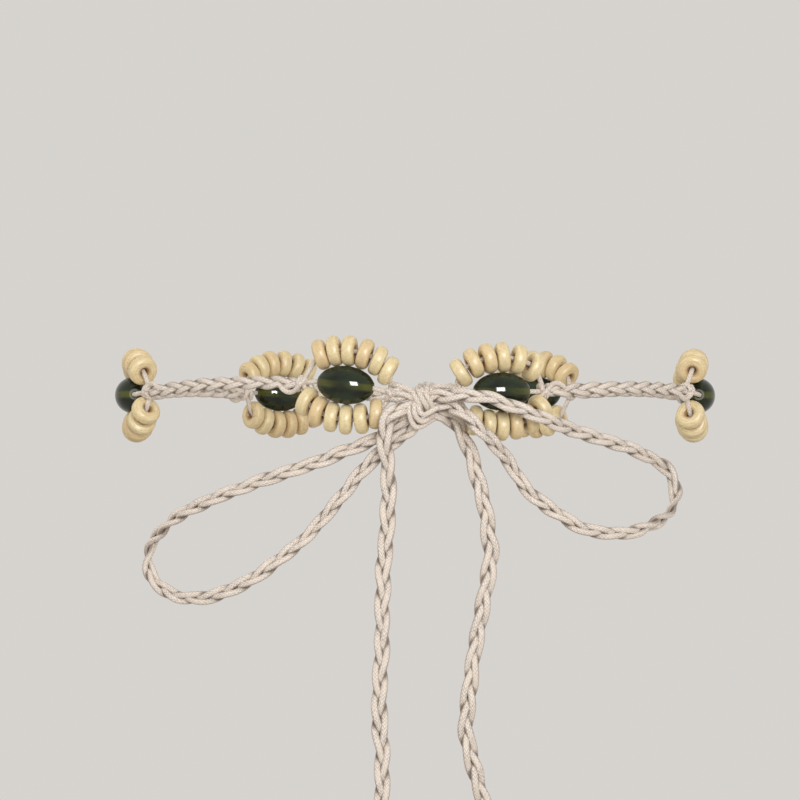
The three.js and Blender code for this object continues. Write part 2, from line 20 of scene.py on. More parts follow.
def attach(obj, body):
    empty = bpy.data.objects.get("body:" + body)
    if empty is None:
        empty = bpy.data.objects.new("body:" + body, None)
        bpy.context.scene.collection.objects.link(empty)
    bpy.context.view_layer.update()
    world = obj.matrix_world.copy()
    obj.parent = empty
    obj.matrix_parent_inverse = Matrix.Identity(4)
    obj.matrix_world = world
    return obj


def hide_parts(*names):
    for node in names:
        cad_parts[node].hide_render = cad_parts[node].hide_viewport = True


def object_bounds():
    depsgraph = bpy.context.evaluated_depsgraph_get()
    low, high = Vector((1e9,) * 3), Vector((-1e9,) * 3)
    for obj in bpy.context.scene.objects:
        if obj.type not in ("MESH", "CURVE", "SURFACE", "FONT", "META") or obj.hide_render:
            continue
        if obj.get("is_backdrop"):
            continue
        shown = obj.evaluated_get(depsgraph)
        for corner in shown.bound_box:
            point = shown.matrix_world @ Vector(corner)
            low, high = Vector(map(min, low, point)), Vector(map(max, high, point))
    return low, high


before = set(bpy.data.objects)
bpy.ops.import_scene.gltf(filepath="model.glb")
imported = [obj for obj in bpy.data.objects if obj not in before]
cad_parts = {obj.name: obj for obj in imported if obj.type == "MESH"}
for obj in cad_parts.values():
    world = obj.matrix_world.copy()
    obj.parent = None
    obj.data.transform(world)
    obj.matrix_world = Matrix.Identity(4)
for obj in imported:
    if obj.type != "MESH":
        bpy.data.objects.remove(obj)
CAD_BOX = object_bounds()

MM = 0.001
BODY = "root"
LOG = logging.getLogger("waist_chain")

# Kinds of node that are used more than once.
ATTRIBUTE = "ShaderNodeAttribute"
BUMP = "ShaderNodeBump"
COMBINE = "ShaderNodeCombineXYZ"
MATH = "ShaderNodeMath"
MIX = "ShaderNodeMix"
NAMED = "GeometryNodeInputNamedAttribute"
NOISE = "ShaderNodeTexNoise"
RANGE = "ShaderNodeMapRange"
SEPARATE = "ShaderNodeSeparateXYZ"
STORE = "GeometryNodeStoreNamedAttribute"
VECTOR = "ShaderNodeVectorMath"

# Settings of nodes that are used more than once.
CONTRAST = {"operation": "MULTIPLY_ADD", "use_clamp": True}
COLOURS = {"data_type": "RGBA"}
SMOOTHLY = {"interpolation_type": "SMOOTHSTEP"}
POINT_NUMBER = {"data_type": "FLOAT", "domain": "POINT"}
POINT_VECTOR = {"data_type": "FLOAT_VECTOR", "domain": "POINT"}

Inputs = dict[str | int, object] | list[object]


class SlotName(Enum):
    """The record's material slots."""

    RESIN = "green_resin"
    WOOD = "wood_beads"
    CORD = "cotton_cord"


class Side(Enum):
    """The upper or the lower string of rondelles, with the sign of its height."""

    UPPER = 1
    LOWER = -1


def linear_colour(hex_code: str) -> tuple[float, float, float, float]:
    """Turns an sRGB colour to the linear values that the shaders take.

    Args:
        hex_code: Six hexadecimal digits.

    Returns:
        Linear red, green and blue, with full alpha.
    """
    levels = [int(hex_code[i : i + 2], 16) / 255 for i in (0, 2, 4)]
    linear = [v / 12.92 if v <= 0.04045 else ((v + 0.055) / 1.055) ** 2.4 for v in levels]
    return (*linear, 1.0)


def feed(node: Node, inputs: Inputs) -> None:
    """Gives a node its inputs.

    Args:
        node: The node that takes them.
        inputs: A value, a colour's hex code, an output socket or a node, whose first output in
            use is linked, for each input by its name or number, or in order.
    """
    for key, value in inputs.items() if isinstance(inputs, dict) else enumerate(inputs):
        socket = node.inputs[key]
        if isinstance(value, Node):
            value = next(output for output in value.outputs if output.enabled)
        if isinstance(value, NodeSocket):
            node.id_data.links.new(value, socket)
        else:
            is_colour = isinstance(value, str) and socket.type == "RGBA"
            socket.default_value = linear_colour(value) if is_colour else value


def add_node(tree: NodeTree, kind: str, inputs: Inputs | None = None, **settings: object) -> Node:
    """Adds a node with its settings, its values and its links.

    Args:
        tree: The tree that the node goes into.
        kind: The type of node.
        inputs: What feeds its inputs.
        settings: The node's own properties.

    Returns:
        The new node.
    """
    node = tree.nodes.new(kind)
    for name, value in settings.items():
        setattr(node, name, value)
    feed(node, inputs or {})
    return node


def unit(vectors: np.ndarray) -> np.ndarray:
    """Scales each vector in the last axis to length one."""
    return vectors / np.maximum(np.linalg.norm(vectors, axis=-1, keepdims=True), 1e-12)


def ease(share: np.ndarray | float) -> np.ndarray | float:
    """A smooth step of a share, held between nought and one."""
    share = np.clip(share, 0.0, 1.0)
    return share * share * (3 - 2 * share)


def lengths_along(points: np.ndarray) -> np.ndarray:
    """The length from the first point to each point."""
    steps = np.linalg.norm(np.diff(points, axis=0), axis=1)
    return np.concatenate([[0.0], np.cumsum(steps)])


def even_steps(points: np.ndarray, spacing: float) -> np.ndarray:
    """Steps evenly along a line, about spacing apart, from its first point to its last."""
    along = lengths_along(points)
    count = max(2, round(along[-1] / spacing) + 1)
    wanted = np.linspace(0.0, along[-1], count)
    return np.stack([np.interp(wanted, along, points[:, i]) for i in range(3)], axis=1)


def smooth_line(points: np.ndarray, spacing: float, steps: int = 24) -> np.ndarray:
    """A centripetal curve through hand-chosen points, stepped evenly.

    Args:
        points: The points that the curve goes through.
        spacing: About how far apart the steps are.
        steps: Steps from one given point to the next, before they are made even.

    Returns:
        Points along the curve.
    """
    ring = np.vstack([2 * points[0] - points[1], points, 2 * points[-1] - points[-2]])
    share = np.linspace(0.0, 1.0, steps, endpoint=False)[:, None]
    pieces = []
    for i in range(len(ring) - 3):
        before, start, end, after = ring[i : i + 4]
        gaps = [max(np.linalg.norm(b - a) ** 0.5, 1e-4) for a, b in zip(ring[i:], ring[i + 1 : i + 4])]
        leave = (start - before) / gaps[0] - (end - before) / (gaps[0] + gaps[1])
        leave = (leave + (end - start) / gaps[1]) * gaps[1]
        arrive = (end - start) / gaps[1] - (after - start) / (gaps[1] + gaps[2])
        arrive = (arrive + (after - end) / gaps[2]) * gaps[1]
        square = -3 * start + 3 * end - 2 * leave - arrive
        cube = 2 * start - 2 * end + leave + arrive
        pieces.append(start + leave * share + square * share**2 + cube * share**3)
    return even_steps(np.vstack([*pieces, ring[-2][None, :]]), spacing)


@dataclass
class CordPath:
    """The line that a cord or a plait follows, in millimetres.

    Args:
        points: Points along the line.
        outward: The direction that the flat face looks to at each point.
        gather: The share of the plait's full spread at each point.
        closed: Whether the line is a ring.
        start: Length along a longer line at which this one starts.
    """

    points: np.ndarray
    outward: np.ndarray
    gather: np.ndarray | None = None
    closed: bool = False
    start: float = 0.0

    def columns(self) -> dict[str, tuple[str, np.ndarray]]:
        """The attributes that the swept trees read, by name."""
        forward = unit(np.gradient(self.points, axis=0))
        across = np.sum(self.outward * forward, axis=1, keepdims=True)
        gather = np.ones(len(self.points)) if self.gather is None else self.gather
        return {
            "along": ("FLOAT", (lengths_along(self.points) + self.start) * MM),
            "gather": ("FLOAT", gather),
            "outward": ("FLOAT_VECTOR", unit(self.outward - forward * across)),
        }

    def end_axes(self, back: int) -> np.ndarray:
        """Columns forward, outwards and across at the end, seen from some points back."""
        forward = unit(self.points[-1] - self.points[-back])
        out = unit(self.outward[-1] - forward * float(self.outward[-1] @ forward))
        return np.stack([forward, out, np.cross(forward, out)], axis=1)


@dataclass(frozen=True)
class HandTension:
    """How a hand-made braid varies along its length: tighter, looser and slightly turned.

    Args:
        slack: The share by which its width varies.
        turn: How far its flat face leans over, in radians.
        start: Where in the variation this braid starts.
        long_wave: Length of the slow variation, in millimetres.
        short_wave: Length of the quicker one.
        slow_share: The slow variation's share of the whole.
        quick_share: The quicker one's share.
        quick_start: How much faster the quicker one's start moves.
        turn_shift: How far the turn's variation stands from the width's.
    """

    slack: float = 0.1
    turn: float = 0.22
    start: float = 0.0
    long_wave: float = 71.0
    short_wave: float = 29.0
    slow_share: float = 0.6
    quick_share: float = 0.4
    quick_start: float = 2.3
    turn_shift: float = 1.9

    def wave(self, along: np.ndarray, shift: float) -> np.ndarray:
        """Two waves in one, between about -1 and 1."""
        slow = np.sin(2 * math.pi * along / self.long_wave + self.start + shift)
        quick = np.sin(2 * math.pi * along / self.short_wave + self.quick_start * self.start + shift)
        return self.slow_share * slow + self.quick_share * quick

    def apply(self, path: CordPath) -> None:
        """Varies a path's gather and turns its face."""
        along = lengths_along(path.points)
        path.gather = path.gather * (1 + self.slack * self.wave(along, 0.0))
        forward = unit(np.gradient(path.points, axis=0))
        turn = (self.turn * self.wave(along, self.turn_shift))[:, None]
        side = np.cross(forward, path.outward)
        path.outward = path.outward * np.cos(turn) + side * np.sin(turn)


def new_object(name: str, data: ID) -> Object:
    """Puts a mesh, a light or a camera into the scene."""
    made = bpy.data.objects.new(name, data)
    bpy.context.scene.collection.objects.link(made)
    return made


def path_mesh(name: str, paths: list[CordPath]) -> Mesh:
    """Puts paths into one mesh of edges, with the attributes that the trees read.

    Args:
        name: The mesh's name.
        paths: The lines to put in.

    Returns:
        The mesh, in metres.
    """
    points, edges, columns = [], [], {}
    for path in paths:
        first, count = len(points), len(path.points)
        points.extend((path.points * MM).tolist())
        edges.extend((first + i, first + i + 1) for i in range(count - 1))
        if path.closed:
            edges.append((first + count - 1, first))
        for label, (kind, values) in path.columns().items():
            columns.setdefault(label, (kind, []))[1].append(values)
    mesh = bpy.data.meshes.new(name)
    mesh.from_pydata(points, edges, [])
    for label, (kind, values) in columns.items():
        attribute = mesh.attributes.new(label, kind, "POINT")
        key = "value" if kind == "FLOAT" else "vector"
        attribute.data.foreach_set(key, np.concatenate(values).astype(np.float32).ravel())
    return mesh


def start_tree(name: str, sizes: dict[str, str]) -> tuple[NodeTree, Node]:
    """Starts a Geometry Nodes tree with named inputs, a finish the last of them.

    Args:
        name: The tree's name.
        sizes: What follows "NodeSocket" in the socket type of each input.

    Returns:
        The tree and its input node.
    """
    tree = bpy.data.node_groups.new(name, "GeometryNodeTree")
    for label, kind in {"Geometry": "Geometry", **sizes, "Finish": "Material"}.items():
        tree.interface.new_socket(label, in_out="INPUT", socket_type=f"NodeSocket{kind}")
    tree.interface.new_socket("Geometry", in_out="OUTPUT", socket_type="NodeSocketGeometry")
    return tree, add_node(tree, "NodeGroupInput")


def end_tree(tree: NodeTree, given: Node, shape: Node) -> None:
    """Ends a Geometry Nodes tree with real geometry in its finish.

    Args:
        tree: The tree.
        given: Its input node.
        shape: The node that gives the geometry.
    """
    real = add_node(tree, "GeometryNodeRealizeInstances", [shape])
    inputs = {"Geometry": real, "Material": given.outputs["Finish"]}
    dressed = add_node(tree, "GeometryNodeSetMaterial", inputs)
    add_node(tree, "NodeGroupOutput", [dressed])


def build_with(name: str, mesh: Mesh, tree: NodeTree, values: dict[str, object]) -> Object:
    """Runs a tree on a mesh and keeps the result as a plain mesh.

    Args:
        name: The finished piece's name.
        mesh: What the tree starts from.
        tree: The tree to run.
        values: A value for each of the tree's named inputs.

    Returns:
        The finished piece, at the origin and with no modifier.
    """
    piece = new_object(name, mesh)
    modifier = piece.modifiers.new("build", "NODES")
    modifier.node_group = tree
    for item in tree.interface.items_tree:
        if item.item_type == "SOCKET" and item.in_out == "INPUT" and item.name in values:
            modifier[item.identifier] = values[item.name]
    view = bpy.context.evaluated_depsgraph_get()
    plain = bpy.data.meshes.new_from_object(piece.evaluated_get(view))
    piece.modifiers.clear()
    piece.data = plain
    plain.name = name
    bpy.data.meshes.remove(mesh)
    return piece


def join(piece: Object, extra: Object) -> None:
    """Moves the extra piece's mesh into the piece."""
    chosen = [piece, extra]
    with bpy.context.temp_override(active_object=piece, selected_editable_objects=chosen):
        bpy.ops.object.join()


def dress(piece: Object, slot: SlotName, replaced: list[str]) -> None:
    """Rides a finished piece on the part and reports it.

    Args:
        piece: The finished piece.
        slot: The record's slot that its finish comes from; not used.
        replaced: The part's nodes that it stands for.
    """
    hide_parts(*replaced)
    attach(piece, BODY)
    LOG.info("%s: %d faces", piece.name, len(piece.data.polygons))


def start_material(name: str) -> tuple[Material, NodeTree, Node]:
    """A new material, with its tree and its shader."""
    material = bpy.data.materials.new(name)
    material.use_nodes = True
    return material, material.node_tree, material.node_tree.nodes["Principled BSDF"]


@dataclass(frozen=True)
class WaxedCotton:
    """Waxed cotton cord, braided round: a matte cream cover of long crossing yarns.

    The eye sees fine slanting streaks, painted lit on the yarns and in painted shade between them,
    a few warmer lengths where the wax is thicker, and painted shade where a plaited strand dips
    under its neighbours and along its sides. Each contrast is a gain and an offset; each span is where
    a shade starts and where it ends.
    """

    name: str = "waxed_braided_cotton"
    lit_yarn: str = "FBF3EA"
    shaded_yarn: str = "A59484"
    warm_wax: str = "E4D6C7"
    painted_shade_colour: str = "6B594B"
    columns: float = 4.0
    yarn_lay: float = 1.5
    slant: float = 6.5
    fibre: float = 0.42
    fibre_stretch: float = 0.45
    fibre_contrast: tuple[float, float] = (2.4, -0.7)
    wax_patch: float = 7.0
    wax_contrast: tuple[float, float] = (1.6, -0.55)
    dip_span: tuple[float, float] = (-0.4, 0.02)
    painted_dip_shade: float = 0.9
    flank_span: tuple[float, float] = (0.66, 1.0)
    painted_crease_shade: float = 0.75
    roughness: float = 0.66
    relief: float = 0.2

    def material(self) -> Material:
        """Builds the cord's material on the cord's own straightened space."""
        material, tree, shader = start_material(self.name)
        space = add_node(tree, ATTRIBUTE, attribute_name="cord_space").outputs["Vector"]
        parts = add_node(tree, SEPARATE, [space])
        yarns = self.yarns(tree, parts)
        # Loose fibres are finer than a tenth of a millimetre; drawn four times as coarse.
        stretch = (self.fibre_stretch, 1.0, 1.0)
        drawn_out = add_node(tree, VECTOR, [space, stretch], operation="MULTIPLY")
        inputs = {"Vector": drawn_out, "Scale": 1 / (self.fibre * MM), "Detail": 2.0, "Roughness": 0.6}
        fibres = add_node(tree, NOISE, inputs)
        inputs = {"Vector": space, "Scale": 1 / (self.wax_patch * MM), "Detail": 1.0}
        patches = add_node(tree, NOISE, inputs)
        # Painted light and shade: lit yarn on the yarns, shaded yarn in the grooves between them,
        # mixed with a fibre speckle.
        speckled = add_node(tree, MATH, [fibres, *self.fibre_contrast], **CONTRAST)
        mixed = add_node(tree, MIX, {0: 0.5, 2: yarns, 3: speckled}, data_type="FLOAT")
        yarn = add_node(tree, MIX, {0: mixed, 6: self.shaded_yarn, 7: self.lit_yarn}, **COLOURS)
        warmth = add_node(tree, MATH, [patches, *self.wax_contrast], **CONTRAST)
        waxed = add_node(tree, MIX, {0: warmth, 6: yarn, 7: self.warm_wax}, **COLOURS)
        # Painted shade: darker cord where a plaited strand dips under its neighbours, and along its
        # sides where it lies against them.
        depth = add_node(tree, ATTRIBUTE, attribute_name="plait_depth").outputs["Fac"]
        facing_in = add_node(tree, MATH, [depth, parts.outputs["Y"]], operation="MULTIPLY")
        span = [v * MM for v in self.dip_span]
        shade = add_node(tree, RANGE, [facing_in, *span, self.painted_dip_shade, 0.0], **SMOOTHLY)
        painted_creases = self.painted_creases(tree, parts)
        darkest = add_node(tree, MATH, [shade, painted_creases], operation="MAXIMUM")
        colour = add_node(tree, MIX, {0: darkest, 6: waxed, 7: self.painted_shade_colour}, **COLOURS)
        relief = {"Strength": 0.8, "Distance": self.relief * MM, "Height": mixed}
        feed(shader, {"Base Color": colour, "Normal": add_node(tree, BUMP, relief)})
        feed(shader, {"Roughness": self.roughness, "Sheen Weight": 0.15, "Sheen Roughness": 0.4})
        feed(shader, {"IOR": 1.45})
        return material

    def painted_creases(self, tree: NodeTree, parts: Node) -> Node:
        """The painted shade along a plaited strand's sides, where it lies against its neighbours.

        Args:
            tree: The material's tree.
            parts: The node that splits the straightened space.

        Returns:
            The node that gives the share of painted shade, nought on cords that aren't plaited.
        """
        section = add_node(tree, COMBINE, {1: parts.outputs["Y"], 2: parts.outputs["Z"]})
        towards = add_node(tree, VECTOR, [section], operation="NORMALIZE")
        split = add_node(tree, SEPARATE, [towards])
        sideways = add_node(tree, MATH, [split.outputs["Z"]], operation="ABSOLUTE")
        shades = [sideways, *self.flank_span, 0.0, self.painted_crease_shade]
        flank = add_node(tree, RANGE, shades, **SMOOTHLY)
        beside = add_node(tree, ATTRIBUTE, attribute_name="plait_sides").outputs["Fac"]
        return add_node(tree, MATH, [flank, beside], operation="MULTIPLY")

    def yarns(self, tree: NodeTree, parts: Node) -> Node:
        """Adds the yarns, which slant one way and the other in columns round the cord.

        Args:
            tree: The material's tree.
            parts: The node with the cord's space split to its three numbers.

        Returns:
            A node that goes from nought between the yarns to one on them.
        """
        around = [parts.outputs["Z"], parts.outputs["Y"]]
        angle = add_node(tree, MATH, around, operation="ARCTAN2")
        counted = add_node(tree, MATH, [angle, self.columns / math.pi], operation="MULTIPLY")
        folded = add_node(tree, MATH, [counted, 1.0], operation="PINGPONG")
        slanted = add_node(tree, MATH, [folded, self.slant], operation="MULTIPLY")
        lays = [parts.outputs["X"], 2 * math.pi / (self.yarn_lay * MM), slanted]
        lay = add_node(tree, MATH, lays, operation="MULTIPLY_ADD")
        wave = add_node(tree, MATH, [lay], operation="SINE")
        return add_node(tree, MATH, [wave, 0.5, 0.5], operation="MULTIPLY_ADD")


@dataclass(frozen=True)
class VarnishedWood:
    """Pale turned wood under thin varnish: fine grain, browner by the bore, a soft sheen.

    The rondelles differ a little: the eye sees straw-coloured ones next to browner ones. Each
    contrast is a gain and an offset; each span is where a shade starts and where it ends.
    """

    name: str = "varnished_pale_wood"
    pale: str = "F8EBC4"
    honey: str = "D0B985"
    ochre: str = "CFA877"
    bore_brown: str = "8A6238"
    pore: str = "9C7443"
    grain_width: float = 0.7
    grain_length: float = 6.0
    grain_contrast: tuple[float, float] = (1.5, -0.3)
    grain_shift: tuple[float, float, float] = (0.31, 0.17, 0.43)
    cloud_size: float = 4.0
    cloud_contrast: tuple[float, float] = (1.4, -0.25)
    ochre_span: tuple[float, float] = (0.3, 1.0)
    ochre_shade: float = 0.36
    pore_scale: float = 2.2
    pore_span: tuple[float, float] = (0.62, 0.74)
    pore_shade: float = 0.55
    ring_spacing: float = 1.15
    ring_wander: float = 9.0
    ring_shade: float = 0.2
    ring_relief: float = -0.35
    bore_span: tuple[float, float] = (1.4, 3.4)
    bore_shade: float = 0.85
    roughness: float = 0.42
    relief: float = 0.06

    def material(self) -> Material:
        """Builds the wood's material on each rondelle's own turned space."""
        material, tree, shader = start_material(self.name)
        space = add_node(tree, ATTRIBUTE, attribute_name="turned_space").outputs["Vector"]
        tone = add_node(tree, ATTRIBUTE, attribute_name="tone").outputs["Fac"]
        shift = add_node(tree, VECTOR, {0: self.grain_shift, "Scale": tone}, operation="SCALE")
        moved = add_node(tree, VECTOR, [space, shift], operation="ADD")
        width, length = 1 / (self.grain_width * MM), 1 / (self.grain_length * MM)
        scales = (width, length, width)
        stretched = add_node(tree, VECTOR, [moved, scales], operation="MULTIPLY")
        inputs = {"Vector": stretched, "Scale": 1.0, "Detail": 3.0, "Roughness": 0.55}
        grain = add_node(tree, NOISE, inputs)
        inputs = {"Vector": moved, "Scale": 1 / (self.cloud_size * MM), "Detail": 1.0}
        cloud = add_node(tree, NOISE, inputs)
        blend = add_node(tree, MATH, [grain, *self.grain_contrast], **CONTRAST)
        spread = add_node(tree, MATH, [cloud, *self.cloud_contrast], **CONTRAST)
        both = add_node(tree, MIX, {0: 0.5, 2: blend, 3: spread}, data_type="FLOAT")
        wood = add_node(tree, MIX, {0: both, 6: self.honey, 7: self.pale}, **COLOURS)
        browner = [tone, *self.ochre_span, 0.0, self.ochre_shade]
        browner = add_node(tree, RANGE, browner, **SMOOTHLY)
        wood = add_node(tree, MIX, {0: browner, 6: wood, 7: self.ochre}, **COLOURS)
        # Pores are hair-thin; drawn a third of a millimetre wide.
        inputs = {"Vector": stretched, "Scale": self.pore_scale, "Detail": 1.0}
        pores = add_node(tree, NOISE, inputs)
        specks = [pores, *self.pore_span, 0.0, self.pore_shade]
        specks = add_node(tree, RANGE, specks, **SMOOTHLY)
        wood = add_node(tree, MIX, {0: specks, 6: wood, 7: self.pore}, **COLOURS)
        parts = add_node(tree, SEPARATE, [space])
        flat = add_node(tree, COMBINE, {1: parts.outputs["Y"], 2: parts.outputs["Z"]})
        radius = add_node(tree, VECTOR, [flat], operation="LENGTH")
        # Rings of the lathe, finer in truth; drawn a millimetre apart.
        wander = add_node(tree, MATH, [cloud, self.ring_wander], operation="MULTIPLY")
        turns = [radius, 2 * math.pi / (self.ring_spacing * MM), wander]
        turns = add_node(tree, MATH, turns, operation="MULTIPLY_ADD")
        ripple = add_node(tree, MATH, [turns], operation="SINE")
        ring = add_node(tree, MATH, [ripple, self.ring_shade, 0.0], **CONTRAST)
        wood = add_node(tree, MIX, {0: ring, 6: wood, 7: self.pore}, **COLOURS)
        span = [v * MM for v in self.bore_span]
        near_bore = add_node(tree, RANGE, [radius, *span, self.bore_shade, 0.0], **SMOOTHLY)
        colour = add_node(tree, MIX, {0: near_bore, 6: wood, 7: self.bore_brown}, **COLOURS)
        heights = [ripple, self.ring_relief, grain]
        height = add_node(tree, MATH, heights, operation="MULTIPLY_ADD")
        relief = {"Strength": 0.4, "Distance": self.relief * MM, "Height": height}
        feed(shader, {"Base Color": colour, "Normal": add_node(tree, BUMP, relief)})
        feed(shader, {"Roughness": self.roughness, "Specular IOR Level": 0.3, "IOR": 1.5})
        feed(shader, {"Coat Weight": 0.12, "Coat Roughness": 0.3})
        return material


@dataclass(frozen=True)
class OliveResin:
    """Dark olive resin, cast and polished: a sharp gloss over a deep, slightly cloudy body.

    A lighter olive band along the bore, strongest near the bead's ends, is painted light: it stands in
    for the cord seen through the resin and for light reflected in the bore.
    Each contrast is a gain and an offset; each span is where a shade starts and where it ends.
    """

    name: str = "olive_cast_resin"
    depth: str = "12170C"
    cloud: str = "2B3A24"
    painted_bore_light: str = "54571F"
    cloud_sizes: tuple[float, float, float] = (9.0, 4.0, 4.0)
    cloud_contrast: tuple[float, float] = (2.2, -0.7)
    band_contrast: tuple[float, float] = (1.6, 0.1)
    band_span: tuple[float, float] = (0.75, 1.95)
    end_span: tuple[float, float] = (0.0, 8.4)
    middle_share: float = 0.05
    cut_span: tuple[float, float] = (11.0, 11.15)
    roughness: float = 0.07
    cut_roughness: float = 0.55
    clarity: float = 0.18

    def material(self) -> Material:
        """Builds the resin's material on each bead's own turned space."""
        material, tree, shader = start_material(self.name)
        space = add_node(tree, ATTRIBUTE, attribute_name="turned_space").outputs["Vector"]
        parts = add_node(tree, SEPARATE, [space])
        scales = tuple(1 / (v * MM) for v in self.cloud_sizes)
        stretched = add_node(tree, VECTOR, [space, scales], operation="MULTIPLY")
        swirl = add_node(tree, NOISE, {"Vector": stretched, "Scale": 1.0, "Detail": 2.0})
        clouded = add_node(tree, MATH, [swirl, *self.cloud_contrast], **CONTRAST)
        body = add_node(tree, MIX, {0: clouded, 6: self.depth, 7: self.cloud}, **COLOURS)
        off_bore = add_node(tree, MATH, [parts.outputs["Z"]], operation="ABSOLUTE")
        off_middle = add_node(tree, MATH, [parts.outputs["X"]], operation="ABSOLUTE")
        band, ends, cut = (
            [v * MM for v in span] for span in (self.band_span, self.end_span, self.cut_span)
        )
        # Painted light: the lighter band along the bore, strongest near the ends, stands in for the
        # cord seen through the resin and for light reflected in the bore.
        band = add_node(tree, RANGE, [off_bore, *band, 1.0, 0.0], **SMOOTHLY)
        ends = add_node(tree, RANGE, [off_middle, *ends, self.middle_share, 1.0], **SMOOTHLY)
        painted_light_band = add_node(tree, MATH, [band, ends], operation="MULTIPLY")
        uneven = add_node(tree, MATH, [swirl, *self.band_contrast], **CONTRAST)
        share = add_node(tree, MATH, [painted_light_band, uneven], operation="MULTIPLY")
        colour = add_node(tree, MIX, {0: share, 6: body, 7: self.painted_bore_light}, **COLOURS)
        # The ends are cut square after the polish, and stay matt.
        cut = add_node(tree, RANGE, [off_middle, *cut, self.roughness, self.cut_roughness])
        feed(shader, {"Base Color": colour, "Roughness": cut, "IOR": 1.5})
        feed(shader, {"Specular IOR Level": 0.36, "Transmission Weight": self.clarity})
        return material


@dataclass(frozen=True)
class MattePaper:
    """Pale matte background paper, for the floor."""

    name: str = "pale_backdrop_paper"
    tone: str = "C4C1BC"
    solid_radius: float = 450.0
    clear_radius: float = 900.0
    fibre: float = 2.5

    def material(self) -> Material:
        """Builds the paper's material, which fades out towards the sheet's rim."""
        material, tree, shader = start_material(self.name)
        space = add_node(tree, "ShaderNodeTexCoord").outputs["Object"]
        # Paper fibres are a few hundredths of a millimetre wide; drawn as soft tufts of fibre mm.
        inputs = {"Vector": space, "Scale": 1 / (self.fibre * MM), "Detail": 1.0}
        fibre = add_node(tree, NOISE, inputs)
        relief = {"Strength": 0.1, "Distance": 0.1 * MM, "Height": fibre}
        out_from_middle = add_node(tree, VECTOR, [space], operation="LENGTH")
        span = [self.solid_radius * MM, self.clear_radius * MM]
        solid = add_node(tree, RANGE, [out_from_middle, *span, 1.0, 0.0], **SMOOTHLY)
        feed(shader, {"Base Color": self.tone, "Normal": add_node(tree, BUMP, relief)})
        feed(shader, {"Alpha": solid, "Roughness": 0.95, "Specular IOR Level": 0.05})
        return material


@dataclass(frozen=True)
class Waist:
    """The oval that the chain lies on: a half ellipse in front, a deeper one behind.

    Its surface widens downwards; each row of flare_rows gives a distance under the oval and
    how far the sides and the front stand out there.
    """

    half_width: float = 112.0
    front_depth: float = 74.0
    back_depth: float = 100.0
    samples: int = 1440
    flare_rows: tuple[tuple[float, float, float], ...] = (
        (0, 0, 0),
        (25, 1, 1),
        (50, 9, 3),
        (90, 23, 8),
        (130, 34, 12),
        (190, 44, 15),
    )

    @cached_property
    def angles(self) -> np.ndarray:
        """Even angles from the front middle to the back middle."""
        return np.linspace(0.0, math.pi, self.samples + 1)

    @cached_property
    def lengths(self) -> np.ndarray:
        """Length along the oval at each angle."""
        depth = np.where(np.cos(self.angles) > 0, self.front_depth, self.back_depth)
        x = self.half_width * np.sin(self.angles)
        y = -depth * np.cos(self.angles)
        return lengths_along(np.stack([x, y, 0 * x], axis=1))

    @property
    def half_loop(self) -> float:
        """Length of half the oval."""
        return float(self.lengths[-1])

    def surface(self, along: float) -> tuple[np.ndarray, np.ndarray]:
        """A point of the oval and its outward direction.

        Args:
            along: Length along the oval from its front middle, negative on the -X side.

        Returns:
            The point and the direction.
        """
        loop = 2 * self.half_loop
        rest = along - loop * round(along / loop)
        side = -1.0 if rest < 0 else 1.0
        angle = np.interp(abs(rest), self.lengths, self.angles)
        depth = self.front_depth if math.cos(angle) > 0 else self.back_depth
        sine, cosine = math.sin(angle), math.cos(angle)
        point = np.array([side * self.half_width * sine, -depth * cosine, 0.0])
        out = unit(np.array([sine / self.half_width, -cosine / depth, 0.0]))
        out[0] *= side
        return point, out

    def place(self, along: float, height: float, lift: float) -> np.ndarray:
        """A point at a length along the oval, lifted off its surface."""
        point, out = self.surface(along)
        return point + out * lift + np.array([0.0, 0.0, height])

    def axes(self, along: float) -> np.ndarray:
        """Columns along the oval, inwards and up, at a length along it."""
        out = self.surface(along)[1]
        return np.stack([np.cross([0.0, 0.0, 1.0], out), -out, np.array([0.0, 0.0, 1.0])], axis=1)

    def growth(self, height: float) -> tuple[float, float]:
        """How far the sides and the front stand out at a height under the oval."""
        below = max(0.0, -height)
        rows = self.flare_rows
        i = 1
        while i < len(rows) - 1 and rows[i][0] < below:
            i += 1
        start, end = rows[i - 1], rows[i]
        share = float(ease((below - start[0]) / (end[0] - start[0])))
        return start[1] + share * (end[1] - start[1]), start[2] + share * (end[2] - start[2])

    def front(self, x: float, height: float, lift: float) -> np.ndarray:
        """A point lifted off the front."""
        side, front = self.growth(height)
        half = self.half_width + side + lift
        y = -(self.front_depth + front + lift) * math.sqrt(1 - (x / half) ** 2)
        return np.array([x, y, height])

    def front_outward(self, point: np.ndarray) -> np.ndarray:
        """The outward direction of the front under a point."""
        side, front = self.growth(point[2])
        x = point[0] / (self.half_width + side) ** 2
        y = point[1] / (self.front_depth + front) ** 2
        return unit(np.array([x, y, 0.0]))


